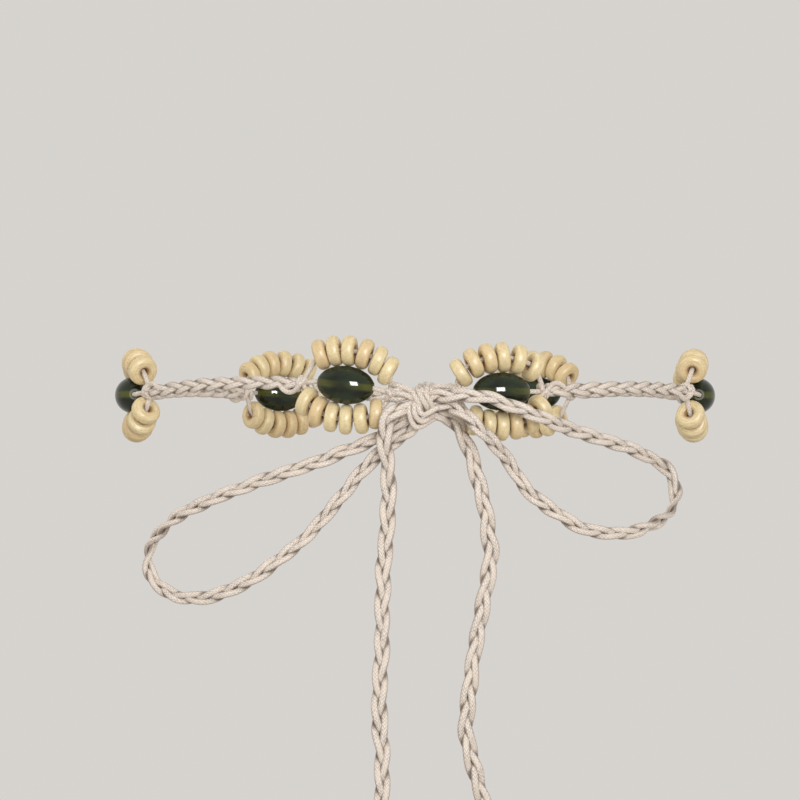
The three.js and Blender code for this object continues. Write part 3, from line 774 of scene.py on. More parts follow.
@dataclass(frozen=True)
class SweptCord:
    """The tree that sweeps a cord's section along paths, with its straightened space.

    Args:
        sides: Facets around the cord.
    """

    sides: int = 14
    sizes: ClassVar[dict[str, str]] = {"Width": "Float", "Thickness": "Float", "Sides": "Int"}

    @cached_property
    def tree(self) -> NodeTree:
        """Builds the tree once: one cord along each path."""
        tree, given = start_tree("swept_cord", self.sizes)
        line = add_node(tree, "GeometryNodeMeshToCurve", [given.outputs["Geometry"]])
        self.sweep(tree, given, line)
        return tree

    def sweep(self, tree: NodeTree, given: Node, line: Node) -> None:
        """Adds the nodes that turn lines to cords, up to the tree's end.

        Args:
            tree: The tree that they go into.
            given: The tree's input node, with the cord's sizes and finish.
            line: The node that gives the curves to follow.
        """
        outward = add_node(tree, NAMED, {"Name": "outward"}, data_type="FLOAT_VECTOR")
        forward = add_node(tree, "GeometryNodeInputTangent")
        lean = add_node(tree, VECTOR, [outward, forward], operation="DOT_PRODUCT")
        part = add_node(tree, VECTOR, {0: forward, "Scale": lean}, operation="SCALE")
        upright = add_node(tree, VECTOR, [outward, part], operation="SUBTRACT")
        face = add_node(tree, VECTOR, [upright], operation="NORMALIZE")
        inputs = {"Curve": line, "Normal": face}
        facing = add_node(tree, "GeometryNodeSetCurveNormal", inputs, mode="FREE")
        length = add_node(tree, "GeometryNodeSplineParameter").outputs["Length"]
        inputs = {"Geometry": facing, "Name": "run", "Value": length}
        measured = add_node(tree, STORE, inputs, **POINT_NUMBER)
        inputs = {"Resolution": given.outputs["Sides"], "Radius": 0.5}
        circle = add_node(tree, "GeometryNodeCurvePrimitiveCircle", inputs, mode="RADIUS")
        sizes = add_node(tree, COMBINE, [given.outputs["Thickness"], given.outputs["Width"], 1.0])
        section = add_node(tree, "GeometryNodeTransform", {"Geometry": circle, "Scale": sizes})
        place = add_node(tree, "GeometryNodeInputPosition")
        inputs = {"Geometry": section, "Name": "around", "Value": place}
        marked = add_node(tree, STORE, inputs, **POINT_VECTOR)
        inputs = {"Curve": measured, "Profile Curve": marked, "Fill Caps": True}
        body = add_node(tree, "GeometryNodeCurveToMesh", inputs)
        run = add_node(tree, NAMED, {"Name": "run"}, data_type="FLOAT")
        around = add_node(tree, NAMED, {"Name": "around"}, data_type="FLOAT_VECTOR")
        parts = add_node(tree, SEPARATE, [around])
        straight = add_node(tree, COMBINE, [run, parts.outputs[0], parts.outputs[1]])
        inputs = {"Geometry": body, "Name": "cord_space", "Value": straight}
        spaced = add_node(tree, STORE, inputs, **POINT_VECTOR)
        smooth = add_node(tree, "GeometryNodeSetShadeSmooth", {"Geometry": spaced})
        end_tree(tree, given, smooth)

    def cords(self, name: str, paths: list[CordPath], size: float, finish: Material) -> Object:
        """Sweeps round cords along paths as one piece.

        Args:
            name: The piece's name.
            paths: The lines to follow.
            size: The cords' diameter.
            finish: The cords' material.

        Returns:
            The piece.
        """
        values = {"Width": size * MM, "Thickness": size * MM, "Sides": self.sides, "Finish": finish}
        return build_with(name, path_mesh(name, paths), self.tree, values)


@dataclass(frozen=True)
class PlaitedCord(SweptCord):
    """The tree that plaits three cords along paths.

    Each strand weaves from side to side once in three V shapes and twice as often in depth,
    which is what makes it pass over one neighbour and under the other.
    """

    painted_crease_weights: ClassVar[tuple[float, float]] = (0.6, 0.4)
    weave: ClassVar[tuple[str, ...]] = ("V Pitch", "Spread", "Depth", "Start Phase", "V Direction")

    @cached_property
    def tree(self) -> NodeTree:
        """Builds the tree once: three strands along each path."""
        tree, given = start_tree("plaited_cord", dict.fromkeys(self.weave, "Float") | self.sizes)
        line = add_node(tree, "GeometryNodeMeshToCurve", [given.outputs["Geometry"]])
        inputs = {"Geometry": line, "Amount": 3}
        strands = add_node(tree, "GeometryNodeDuplicateElements", inputs, domain="SPLINE")
        along = add_node(tree, NAMED, {"Name": "along"}, data_type="FLOAT")
        gather = add_node(tree, NAMED, {"Name": "gather"}, data_type="FLOAT")
        outward = add_node(tree, NAMED, {"Name": "outward"}, data_type="FLOAT_VECTOR")
        forward = add_node(tree, "GeometryNodeInputTangent")
        vees = add_node(tree, MATH, [along, given.outputs["V Pitch"]], operation="DIVIDE")
        counted = add_node(tree, MATH, [vees, strands.outputs["Duplicate Index"]], operation="ADD")
        third = [counted, 2 * math.pi / 3, given.outputs["Start Phase"]]
        phase = add_node(tree, MATH, third, operation="MULTIPLY_ADD")
        doubled = add_node(tree, MATH, [phase, 2.0], operation="MULTIPLY")
        sideways = add_node(tree, VECTOR, [forward, outward], operation="CROSS_PRODUCT")
        swings = add_node(tree, MATH, [phase], operation="SINE")
        dips = add_node(tree, MATH, [doubled], operation="SINE")
        depths = add_node(tree, MATH, [dips, given.outputs["V Direction"]], operation="MULTIPLY")
        across = add_node(tree, MATH, [phase], operation="COSINE")
        near_middle = add_node(tree, MATH, [across, across], operation="MULTIPLY")
        covered = add_node(tree, MATH, [depths, near_middle], operation="MULTIPLY")
        sides = add_node(tree, MATH, [near_middle, *self.painted_crease_weights], operation="MULTIPLY_ADD")
        moves = []
        for swing, reach, way in ((swings, "Spread", sideways), (depths, "Depth", outward)):
            full = add_node(tree, MATH, [swing, given.outputs[reach]], operation="MULTIPLY")
            held = add_node(tree, MATH, [full, gather], operation="MULTIPLY")
            moves.append(add_node(tree, VECTOR, {0: way, "Scale": held}, operation="SCALE"))
        offset = add_node(tree, VECTOR, moves, operation="ADD")
        inputs = {"Geometry": strands.outputs["Geometry"], "Offset": offset}
        shape = add_node(tree, "GeometryNodeSetPosition", inputs)
        # plait_depth and plait_sides tell the cotton where to paint shade: under the neighbours and
        # along the strands' sides.
        for name, value in (("plait_depth", covered), ("plait_sides", sides)):
            inputs = {"Geometry": shape, "Name": name, "Value": value}
            shape = add_node(tree, STORE, inputs, **POINT_NUMBER)
        self.sweep(tree, given, shape)
        return tree


@dataclass(frozen=True)
class Braid:
    """Sizes of a three-strand braid; its V shapes point back along it, or on at -1."""

    strand_width: float = 2.55
    strand_thickness: float = 2.0
    spread: float = 1.66
    depth: float = 1.1
    pitch: float = 9.0
    phase: float = math.pi / 2
    direction: float = 1.0

    def inputs(self, sides: int, finish: Material) -> dict[str, object]:
        """The values that the plaiting tree takes."""
        return {
            "V Pitch": self.pitch * MM,
            "Spread": self.spread * MM,
            "Depth": self.depth * MM,
            "Start Phase": self.phase,
            "V Direction": self.direction,
            "Width": self.strand_width * MM,
            "Thickness": self.strand_thickness * MM,
            "Sides": sides,
            "Finish": finish,
        }


def turned_mesh(name: str, profile: np.ndarray, sides: int) -> Mesh:
    """Turns a closed profile round the X axis.

    Args:
        name: The mesh's name.
        profile: Rows of a place along the axis and a radius, in millimetres, round the section.
        sides: Facets around the axis.

    Returns:
        A closed mesh in metres, with its own turned space as an attribute.
    """
    count = len(profile)
    points, faces = [], []
    for side in range(sides):
        angle = 2 * math.pi * side / sides
        for x, radius in profile:
            points.append((x * MM, radius * math.cos(angle) * MM, radius * math.sin(angle) * MM))
    for side in range(sides):
        here, there = side * count, (side + 1) % sides * count
        for i in range(count):
            j = (i + 1) % count
            faces.append((here + i, there + i, there + j, here + j))
    mesh = bpy.data.meshes.new(name)
    mesh.from_pydata(points, [], faces)
    mesh.shade_smooth()
    space = mesh.attributes.new("turned_space", "FLOAT_VECTOR", "POINT")
    space.data.foreach_set("vector", np.array(points, np.float32).ravel())
    if signed_volume(mesh) < 0:
        mesh.flip_normals()
    return mesh


def signed_volume(mesh: Mesh) -> float:
    """The volume inside a mesh, negative if its faces point inwards."""
    mesh.calc_loop_triangles()
    corners = np.array([t.vertices for t in mesh.loop_triangles])
    points = np.array([v.co for v in mesh.vertices])
    a, b, c = points[corners[:, 0]], points[corners[:, 1]], points[corners[:, 2]]
    return float(np.einsum("ij,ij->i", a, np.cross(b, c)).sum() / 6)


@dataclass(frozen=True)
class Petal:
    """A rondelle's place on its string's arc, its lean and its turn, in degrees."""

    at: float
    tilt: float
    turn: float


@dataclass(frozen=True)
class FlowerForm:
    """The six rondelles above a green bead and the six below it."""

    upper: tuple[Petal, ...]
    lower: tuple[Petal, ...]

    def row(self, side: Side) -> tuple[Petal, ...]:
        """The petals of one side."""
        return self.upper if side is Side.UPPER else self.lower


FLOWER_A = FlowerForm(
    upper=(
        Petal(28, 22, 0), Petal(48.5, 17, 4), Petal(69.5, 12, 0), Petal(91.5, -4, -4),
        Petal(112.5, -17, 0), Petal(133, -25, 5),
    ),
    lower=(
        Petal(41, -4, 6), Petal(63, -13, 0), Petal(84.5, -4, 5), Petal(105, 2, 4),
        Petal(126, 11, 0), Petal(148, 20, -6),
    ),
)
FLOWER_B = FlowerForm(
    upper=(
        Petal(40, 25, 6), Petal(65, 12, 0), Petal(87.5, -7, -4), Petal(108.5, -16, 4),
        Petal(130, -26, 0), Petal(152.5, -34, -9),
    ),
    lower=(
        Petal(25, -31, 8), Petal(47.5, -19, 0), Petal(69, -6, -5), Petal(89, 1, 0),
        Petal(108.5, 4, 4), Petal(128.5, 9, 0),
    ),
)


@dataclass(frozen=True)
class BeadSizes:
    """Sizes of the beads, their knots and how they sit."""

    green_length: float = 22.4
    green_diameter: float = 14.8
    green_end_diameter: float = 5.6
    green_growth: float = 0.3
    bore_radius: float = 1.3
    rondelle_diameter: float = 12.0
    rondelle_growth: float = 0.2
    rondelle_thickness: float = 5.1
    cord: float = 2.0
    core_showing: float = 4.5
    knot_length: float = 4.4
    knot_width: float = 6.6
    knot_lift: float = 5.0
    meeting_gap: float = 0.3
    seat_gap: float = 0.35
    surface_gap: float = 0.2

    @property
    def oval_half(self) -> float:
        """Half the length of the whole oval that the green bead is cut from."""
        share = self.green_end_diameter / self.green_diameter
        return self.green_length / 2 / math.sqrt(1 - share**2)

    @property
    def green_lift(self) -> float:
        """Lift of the green bead's bore off the surface."""
        return self.green_diameter / 2 + self.surface_gap

    @property
    def rondelle_lift(self) -> float:
        """Lift of a rondelle's bore off the surface."""
        return self.rondelle_diameter / 2 + self.surface_gap

    @property
    def knot_reach(self) -> float:
        """From a motif's middle to the middle of its knot."""
        return self.green_length / 2 + self.core_showing + self.knot_length / 2

    @property
    def outer_reach(self) -> float:
        """From a motif's middle to where a braid starts."""
        return self.knot_reach + self.knot_length / 2 + self.meeting_gap


@dataclass
class Motif:
    """One flower of beads at its place along the oval.

    Args:
        name: The motif's name in the part.
        flower: Where its rondelles sit.
        rise: Height of the green bead over the loop's plane.
        roll: How far the motif has slipped round its own middle, in degrees.
        sag: How far its knots hang under its middle line.
        along: Length along the oval to its middle.
    """

    name: str
    flower: FlowerForm
    rise: float
    roll: float
    sag: float
    along: float = 0.0
    waist: Waist = field(default_factory=Waist)
    beads: BeadSizes = field(default_factory=BeadSizes)

    def turned(self, p: float, q: float) -> tuple[float, float]:
        """Length along the oval and height of a place in the motif's own frame."""
        roll = math.radians(self.roll)
        along = self.along + p * math.cos(roll) - q * math.sin(roll)
        return along, self.rise + p * math.sin(roll) + q * math.cos(roll)

    def place(self, p: float, q: float, lift: float) -> np.ndarray:
        """A point over the surface in the motif's own frame."""
        return self.waist.place(*self.turned(p, q), lift)

    def arc(self, at: float, side: Side) -> tuple[float, float]:
        """A place on the arc that the rondelles' middles keep round the green bead."""
        beads, angle = self.beads, math.radians(at)
        radius = beads.green_diameter / 2
        oval = np.array([beads.oval_half * math.cos(angle), radius * math.sin(angle)])
        out = unit(np.array([math.cos(angle) / beads.oval_half, math.sin(angle) / radius]))
        oval = oval + out * (beads.rondelle_diameter / 2 + beads.seat_gap)
        return float(oval[0]), float(side.value * oval[1])

    def knot_axes(self, end: int) -> tuple[np.ndarray, np.ndarray]:
        """Middle of a knot, and columns away from the bead, outwards and up."""
        along, height = self.turned(end * self.beads.knot_reach, -self.sag)
        centre = self.waist.place(along, height, self.beads.knot_lift)
        axes = self.waist.axes(along)
        return centre, np.stack([end * axes[:, 0], -axes[:, 1], axes[:, 2]], axis=1)


@dataclass
class GreenBeads:
    """The oval green beads, turned on their bores."""

    rings: int = 26
    sides: int = 48
    end_radius: float = 2.2
    edge: float = 0.12
    bore_rings: int = 7
    bore_inset: float = 1.5

    def profile(self, beads: BeadSizes) -> np.ndarray:
        """The bead's section: its oval, a small flat at each end and its bore."""
        half, radius = beads.green_length / 2, beads.green_diameter / 2 + beads.green_growth
        oval_half = half / math.sqrt(1 - (self.end_radius / radius) ** 2)
        edge, bore = self.edge, beads.bore_radius
        rows = []
        for i in range(self.rings + 1):
            x = (half - edge) * math.sin(math.pi * (i / self.rings - 0.5))
            rows.append((x, radius * math.sqrt(1 - (x / oval_half) ** 2)))
        rim = rows[-1][1]
        turned = [(half, y) for y in (rim - edge, rim - 2 * edge, bore + 2 * edge, bore + edge)]
        turned.append((half - edge, bore))
        rows.extend(turned)
        inner = half - self.bore_inset
        rows.extend((float(x), bore) for x in np.linspace(inner, -inner, self.bore_rings))
        rows.extend((-x, y) for x, y in reversed(turned))
        return np.array(rows)

    def build(self, motif: Motif, finish: Material) -> None:
        """Turns one bead and puts it in its place.

        Args:
            motif: The motif that it belongs to.
            finish: The resin.
        """
        name = f"resin_bead_{motif.name}"
        mesh = turned_mesh(name, self.profile(motif.beads), self.sides)
        along, height = motif.along, motif.rise
        turn = Matrix(motif.waist.axes(along).tolist()).to_4x4()
        turn = turn @ Matrix.Rotation(-math.radians(motif.roll), 4, "Y")
        middle = motif.waist.place(along, height, motif.beads.green_lift) * MM
        mesh.transform(Matrix.Translation(Vector(middle.tolist())) @ turn)
        mesh.materials.append(finish)
        dress(new_object(name, mesh), SlotName.RESIN, [f"green_bead_{motif.name}"])


@dataclass
class Rondelles:
    """The wooden rondelles, strung in sixes over and under each green bead."""

    section_points: int = 22
    sides: int = 32
    squareness: float = 2.5
    bore_radius: float = 1.35
    smallest: float = 0.985
    variation: float = 0.03
    seed: int = 7

    def profile(self, beads: BeadSizes) -> np.ndarray:
        """The rondelle's section: a rounded block from its bore to its rim."""
        outer = beads.rondelle_diameter / 2 + beads.rondelle_growth
        half = beads.rondelle_thickness / 2
        middle, reach = (outer + self.bore_radius) / 2, (outer - self.bore_radius) / 2
        power = 2 / self.squareness
        rows = []
        for i in range(self.section_points):
            angle = 2 * math.pi * (i + 0.5) / self.section_points
            cosine, sine = math.cos(angle), math.sin(angle)
            x = half * math.copysign(abs(cosine) ** power, cosine)
            rows.append((x, middle + reach * math.copysign(abs(sine) ** power, sine)))
        return np.array(rows)

    @cached_property
    def tree(self) -> NodeTree:
        """Builds the tree once: a rondelle at each point, each with its own tone."""
        sizes = {"Rondelle": "Object", "Variation": "Float", "Seed": "Int"}
        tree, given = start_tree("strung_rondelles", sizes)
        pattern = {"Object": given.outputs["Rondelle"]}
        shape = add_node(tree, "GeometryNodeObjectInfo", pattern).outputs["Geometry"]
        facing = add_node(tree, NAMED, {"Name": "facing"}, data_type="FLOAT_VECTOR")
        turn = add_node(tree, "FunctionNodeEulerToRotation", [facing])
        inputs = {2: 0.0, 3: 1.0, "Seed": given.outputs["Seed"]}
        number = add_node(tree, "FunctionNodeRandomValue", inputs, data_type="FLOAT")
        inputs = [number, given.outputs["Variation"], self.smallest]
        scale = add_node(tree, MATH, inputs, operation="MULTIPLY_ADD")
        inputs = {"Points": given.outputs["Geometry"], "Instance": shape}
        inputs |= {"Rotation": turn, "Scale": scale}
        strung = add_node(tree, "GeometryNodeInstanceOnPoints", inputs)
        inputs = {"Geometry": strung, "Name": "tone", "Value": number}
        toned = add_node(tree, STORE, inputs, data_type="FLOAT", domain="INSTANCE")
        end_tree(tree, given, toned)
        return tree

    def places(self, motif: Motif, side: Side) -> Mesh:
        """The places of the rondelles on one string.

        Args:
            motif: The motif that they belong to.
            side: The upper or the lower string.

        Returns:
            A mesh of points in metres, each with the turn of its rondelle.
        """
        places, turns = [], []
        for petal in motif.flower.row(side):
            along, height = motif.turned(*motif.arc(petal.at, side))
            place = motif.waist.place(along, height, motif.beads.rondelle_lift)
            places.append((place * MM).tolist())
            turn = Matrix(motif.waist.axes(along).tolist())
            turn = turn @ Matrix.Rotation(math.radians(petal.tilt - motif.roll), 3, "Y")
            turn = turn @ Matrix.Rotation(math.radians(petal.turn), 3, "Z")
            turns.append(list(turn.to_euler("XYZ")))
        points = bpy.data.meshes.new(f"places_{side.name.lower()}_{motif.name}")
        points.from_pydata(places, [], [])
        facing = points.attributes.new("facing", "FLOAT_VECTOR", "POINT")
        facing.data.foreach_set("vector", np.array(turns, np.float32).ravel())
        return points

    def build(self, motifs: list[Motif], finish: Material) -> None:
        """Strings the rondelles of every motif.

        Args:
            motifs: The motifs in their places.
            finish: The wood.
        """
        mesh = turned_mesh("one_rondelle", self.profile(motifs[0].beads), self.sides)
        pattern = new_object("one_rondelle", mesh)
        values = {"Rondelle": pattern, "Variation": self.variation, "Finish": finish}
        for number, motif in enumerate(motifs):
            for side in Side:
                values["Seed"] = self.seed + 2 * number + (side is Side.UPPER)
                row = f"petals_{side.name.lower()}_{motif.name}"
                piece = build_with(f"wood_{row}", self.places(motif, side), self.tree, values)
                dress(piece, SlotName.WOOD, [row])
        bpy.data.objects.remove(pattern)


@dataclass(frozen=True)
class KnotTurns:
    """The turns of cord that bind a bundle, leaning against each other.

    Args:
        offsets: Place of each turn along the bundle.
        leans: How far each turn's top stands ahead of its bottom.
        height: Half the turns' height across the bundle.
        depth: Half their depth, towards the eye.
        steps: Points in each turn.
    """

    offsets: tuple[float, ...] = (-1.1, 1.0)
    leans: tuple[float, ...] = (0.9, -0.7)
    height: float = 2.5
    depth: float = 2.2
    steps: int = 28

    def paths(self, centre: np.ndarray, axes: np.ndarray) -> list[CordPath]:
        """Winds the turns.

        Args:
            centre: The middle of the knot.
            axes: Columns along the bundle, outwards and across.

        Returns:
            One closed path for each turn.
        """
        angles = np.linspace(0, 2 * math.pi, self.steps, endpoint=False)
        across, out = np.sin(angles), self.depth * np.cos(angles)
        flat = np.tile(axes[:, 0], (self.steps, 1))
        rings = []
        for offset, lean in zip(self.offsets, self.leans):
            local = np.stack([offset + lean * across, out, self.height * across], axis=1)
            rings.append(CordPath(centre + local @ axes.T, flat, closed=True))
        return rings


# Rows of a route: away from the bead, outwards and towards the string.
CROSSING = ((-2.2, 1.6, 2.0), (-0.4, 3.0, 0.2), (1.2, 2.5, -1.6))
CROSSING_END = ((2.4, 0.4, -2.2),)
CROSSING_EYE = ((3.2, 1.4, -3.1), (5.6, 0.8, -3.4), (7.8, 0.4, -2.4), (9.4, -0.6, -0.8))


@dataclass
class MotifCords:
    """The cords inside a motif: two strings, the core, and the knots where they meet."""

    spacing: float = 0.7
    string_overlap: float = 0.4
    string_share: float = 0.22
    mouth: float = 0.5
    turns: KnotTurns = field(default_factory=KnotTurns)
    sweep: SweptCord = field(default_factory=SweptCord)

    def line(self, rows: list[np.ndarray], outward: np.ndarray) -> CordPath:
        """A smooth cord through points, with one outward direction."""
        points = smooth_line(np.array(rows), self.spacing)
        return CordPath(points, np.tile(outward, (len(points), 1)))

    def string(self, motif: Motif, side: Side) -> CordPath:
        """The cord through the rondelles of one side, from knot to knot."""
        middles = [motif.arc(petal.at, side) for petal in motif.flower.row(side)]
        rows = [self.at_knot(motif, 1, side)]
        rows += [motif.place(p, q, motif.beads.rondelle_lift) for p, q in middles]
        rows.append(self.at_knot(motif, -1, side))
        return self.line(rows, motif.waist.surface(motif.along)[1])

    def at_knot(self, motif: Motif, end: int, side: Side) -> np.ndarray:
        """Where a string comes out of a knot."""
        beads = motif.beads
        p = end * (beads.knot_reach - self.string_overlap)
        q = side.value * beads.knot_width * self.string_share - motif.sag
        return motif.place(p, q, beads.knot_lift)

    def core(self, motif: Motif) -> CordPath:
        """The middle cord, from knot to knot through the green bead."""
        beads, roll = motif.beads, math.radians(motif.roll)
        mouth = beads.green_length / 2 + self.mouth
        middle = motif.waist.place(motif.along, motif.rise, beads.green_lift)
        axes = motif.waist.axes(motif.along)
        bore = axes[:, 0] * math.cos(roll) + axes[:, 2] * math.sin(roll)
        reach, lift = beads.knot_reach, beads.knot_lift
        left, right = (motif.place(end * reach, -motif.sag, lift) for end in (-1, 1))
        rows = [left, middle - bore * mouth, middle, middle + bore * mouth, right]
        return self.line(rows, motif.waist.surface(motif.along)[1])

    def build(self, motif: Motif, finish: Material) -> None:
        """Makes all the cord of one motif as one piece.

        Args:
            motif: The motif.
            finish: The cotton.
        """
        paths = [self.string(motif, side) for side in Side]
        paths.append(self.core(motif))
        by_bow = {"front_left": 1, "front_right": -1}.get(motif.name, 0)
        mirror = -1.0 if motif.flower is FLOWER_B else 1.0
        for end in (-1, 1):
            centre, axes = motif.knot_axes(end)
            axes[:, 2] *= mirror
            paths.extend(self.turns.paths(centre, axes))
            rows = np.array(CROSSING + (CROSSING_END if end == by_bow else CROSSING_EYE))
            paths.append(self.line(centre + rows @ axes.T, axes[:, 1]))
        piece = self.sweep.cords(f"motif_cords_{motif.name}", paths, motif.beads.cord, finish)
        dress(piece, SlotName.CORD, [f"core_cord_{motif.name}"])


@dataclass
class BeltBraids:
    """The braids from each motif to the next, round the oval."""

    spacing: float = 0.7
    landing: float = 15.0
    crest: float = 1.4
    into_knot: float = 2.6
    low_lift: float = 2.45
    gathering: float = 8.5
    tight: float = 0.3
    loosening: float = 0.7
    slack: float = 0.08
    turn: float = 0.12
    braid: Braid = field(default_factory=Braid)
    plait: PlaitedCord = field(default_factory=PlaitedCord)

    def path(self, first: Motif, last: Motif) -> tuple[CordPath, float]:
        """The line of one braid.

        Args:
            first: The motif that it leaves.
            last: The motif that it reaches.

        Returns:
            The line and its length from knot to knot.
        """
        waist, high = first.waist, first.beads.knot_lift
        start = first.turned(-first.beads.outer_reach, -first.sag)
        end = last.turned(last.beads.outer_reach, -last.sag)
        length = abs(end[0] - start[0])
        extra = self.into_knot / length
        shares = np.linspace(-extra, 1 + extra, round(length / self.spacing) + 1)
        points, outward = [], []
        for share in shares:
            along = start[0] + share * (end[0] - start[0])
            inside = min(max(share, 0.0), 1.0)
            height = start[1] + inside * (end[1] - start[1])
            height += self.crest * math.sin(math.pi * inside)
            near = min(inside, 1 - inside) * length / self.landing
            lift = high + float(ease(near)) * (self.low_lift - high)
            points.append(waist.place(along, height, lift))
            outward.append(waist.surface(along)[1])
        from_end = np.minimum(shares + extra, 1 + extra - shares) * length
        path = CordPath(np.array(points), np.array(outward), start=-self.into_knot)
        path.gather = self.tight + self.loosening * ease(from_end / self.gathering)
        HandTension(self.slack, self.turn, start[0]).apply(path)
        return path, length

    def build(self, name: str, first: Motif, last: Motif, finish: Material) -> None:
        """Plaits one braid between two motifs.

        Args:
            name: The braid's name in the part.
            first: The motif that it leaves.
            last: The motif that it reaches.
            finish: The cotton.
        """
        path, length = self.path(first, last)
        pitch = length / round(length / self.braid.pitch)
        direction = -1.0 if name.startswith("right") else 1.0
        values = Braid(pitch=pitch, direction=direction).inputs(self.plait.sides, finish)
        mesh = path_mesh(f"belt_braid_{name}", [path])
        piece = build_with(f"belt_braid_{name}", mesh, self.plait.tree, values)
        dress(piece, SlotName.CORD, [f"braid_{name}_strand_{i}" for i in (1, 2, 3)])


# Rows of a route over the front: x sideways, z height, lift off the surface.
Route = tuple[tuple[float, float, float], ...]

LOOP_RIGHT: Route = (
    (7.5, -3, 11.6), (13.5, -3, 14.8), (21.5, -3, 17.6), (29.5, -4, 18.6), (37.5, -7, 18.6),
    (45.5, -10, 17.6), (52, -12.5, 15.6), (58, -15, 11.6), (65, -17.5, 6.8), (74.5, -20.5, 3.8),
    (87.5, -24.5, 3.4), (94, -27.5, 3.2), (100, -30.5, 3.2), (104.5, -34, 3.2), (107, -39.5, 3.2),
    (107, -46, 3.2), (104, -51.5, 3.2), (98.5, -55, 3.2), (92, -57.5, 3.2), (84.5, -59, 3.2),
    (77, -58.5, 3.2), (70, -57.5, 3.2), (64, -55, 3.2), (58, -51, 3.2), (52.5, -47.5, 3.2),
    (48, -44, 3.2), (44, -40, 3.4), (40.5, -35, 3.8), (37.5, -30, 5), (34, -25.5, 8), (30, -21, 12),
    (25.5, -16.5, 15.2), (21, -12, 15.8), (16.5, -8.5, 14), (12.5, -7, 11),
)
LOOP_LEFT: Route = (
    (-3, -11, 7.4), (-6.5, -13.5, 6.4), (-10.5, -17, 5.2), (-16.5, -20.5, 3.8), (-23.5, -23.5, 3.6),
    (-31.5, -26.5, 3.4), (-38.5, -29.5, 3.2), (-46.5, -32, 3.2), (-55, -35, 3.2), (-63, -37.5, 3.2),
    (-70.5, -40.5, 3.2), (-79, -43.5, 3.2), (-85.5, -46.5, 3.2), (-92.5, -49.5, 3.2),
    (-99, -53.5, 3.2), (-104.5, -58.5, 3.2), (-108, -63, 3.2), (-109.5, -68.5, 3.2),
    (-109.5, -73.5, 3.2), (-107, -78.5, 3.2), (-102.5, -82, 3.2), (-97, -84.5, 3.2),
    (-89.5, -85, 3.2), (-82, -84, 3.2), (-75.5, -81.5, 3.2), (-68, -78, 3.2), (-61, -73.5, 3.2),
    (-54, -68, 3.2), (-46.5, -62, 3.2), (-40, -55.5, 3.2), (-34.5, -49, 3.2), (-29, -42.5, 3.2),
    (-23.5, -35.5, 3.2), (-18, -29.5, 3.4), (-12, -24, 4), (-6, -19.5, 5.2), (-1.5, -16, 6.6),
)
TAIL_LEFT: Route = (
    (-4, -7.5, 11.2), (-7.5, -9, 12.6), (-11, -12, 12.6), (-12.5, -16.5, 11.4), (-12.5, -22.5, 9.8),
    (-11.5, -29, 7.8), (-11, -37.5, 5.2), (-11, -45.5, 4), (-11.5, -53.5, 3.5), (-12, -62, 3.5),
    (-13, -70, 3.5), (-13, -78, 3.5), (-13.5, -86, 3.5), (-13.5, -94, 3.5), (-13.5, -102.5, 3.5),
    (-14, -110, 3.5), (-14.5, -118.5, 3.5), (-14.5, -126.5, 3.5), (-14.5, -134.5, 3.5),
    (-13.5, -142.5, 3.5), (-13.5, -150.5, 3.5), (-13.5, -160.5, 3.5), (-13.5, -173, 3.5),
)
TAIL_RIGHT: Route = (
    (7.5, -10, 7.2), (12, -11, 5), (16, -14, 3.6), (18.5, -18.5, 3.2), (21.5, -25, 3.4),
    (24, -33.5, 3.8), (26, -41.5, 4), (28, -49.5, 4), (29, -58, 3.6), (30, -66, 3.5),
    (29, -74, 3.5), (27.5, -82, 3.5), (26, -90, 3.5), (24.5, -98.5, 3.5), (23, -106.5, 3.5),
    (22, -114, 3.5), (21, -122.5, 3.5), (20, -130.5, 3.5), (20, -138.5, 3.5), (22, -146.5, 3.5),
    (24, -155, 3.5), (26.5, -163, 3.5), (28.5, -171.5, 3.5),
)
KNOT_HEART = (1.2, -6.8, 8.0)

# The knot's own cords, each a short route of the same kind.
WRAP_CORDS: tuple[Route, ...] = (
    ((-1.6, -0.6, 7.2), (-1.3, -1.6, 10.6), (-0.2, -3.9, 12.7), (1.2, -6.2, 12.9), (2.4, -8.6, 9.6)),
    ((0.7, 0.0, 7.4), (1.0, -1.2, 11.0), (2.2, -3.9, 13.4), (3.8, -6.6, 13.2), (4.6, -8.8, 10.0)),
    ((3.2, 0.2, 7.6), (3.5, -1.6, 10.8), (4.8, -4.3, 12.7), (6.2, -6.8, 11.8), (6.6, -9.0, 8.6)),
)
LOBE_CORDS: tuple[Route, ...] = (
    (
        (-1.2, -4.4, 9.6), (-2.7, -7.2, 11.4), (-2.6, -10.2, 12.0), (-1.8, -13.2, 11.6),
        (-0.1, -15.5, 10.8), (2.1, -15.4, 10.2), (4.9, -13.6, 9.0), (8.2, -11.8, 6.4),
    ),
    (
        (0.2, -4.8, 10.4), (-0.7, -6.9, 12.6), (-0.7, -9.5, 13.2), (0.4, -12.0, 12.8),
        (2.4, -13.3, 12.0), (4.4, -12.6, 11.0), (7.2, -10.8, 8.2),
    ),
    (
        (1.8, -5.2, 10.6), (1.0, -7.0, 12.8), (1.5, -9.4, 13.4), (3.1, -10.7, 13.0),
        (5.6, -9.5, 12.4), (8.6, -7.8, 11.4), (11.5, -7.2, 9.8),
    ),
)
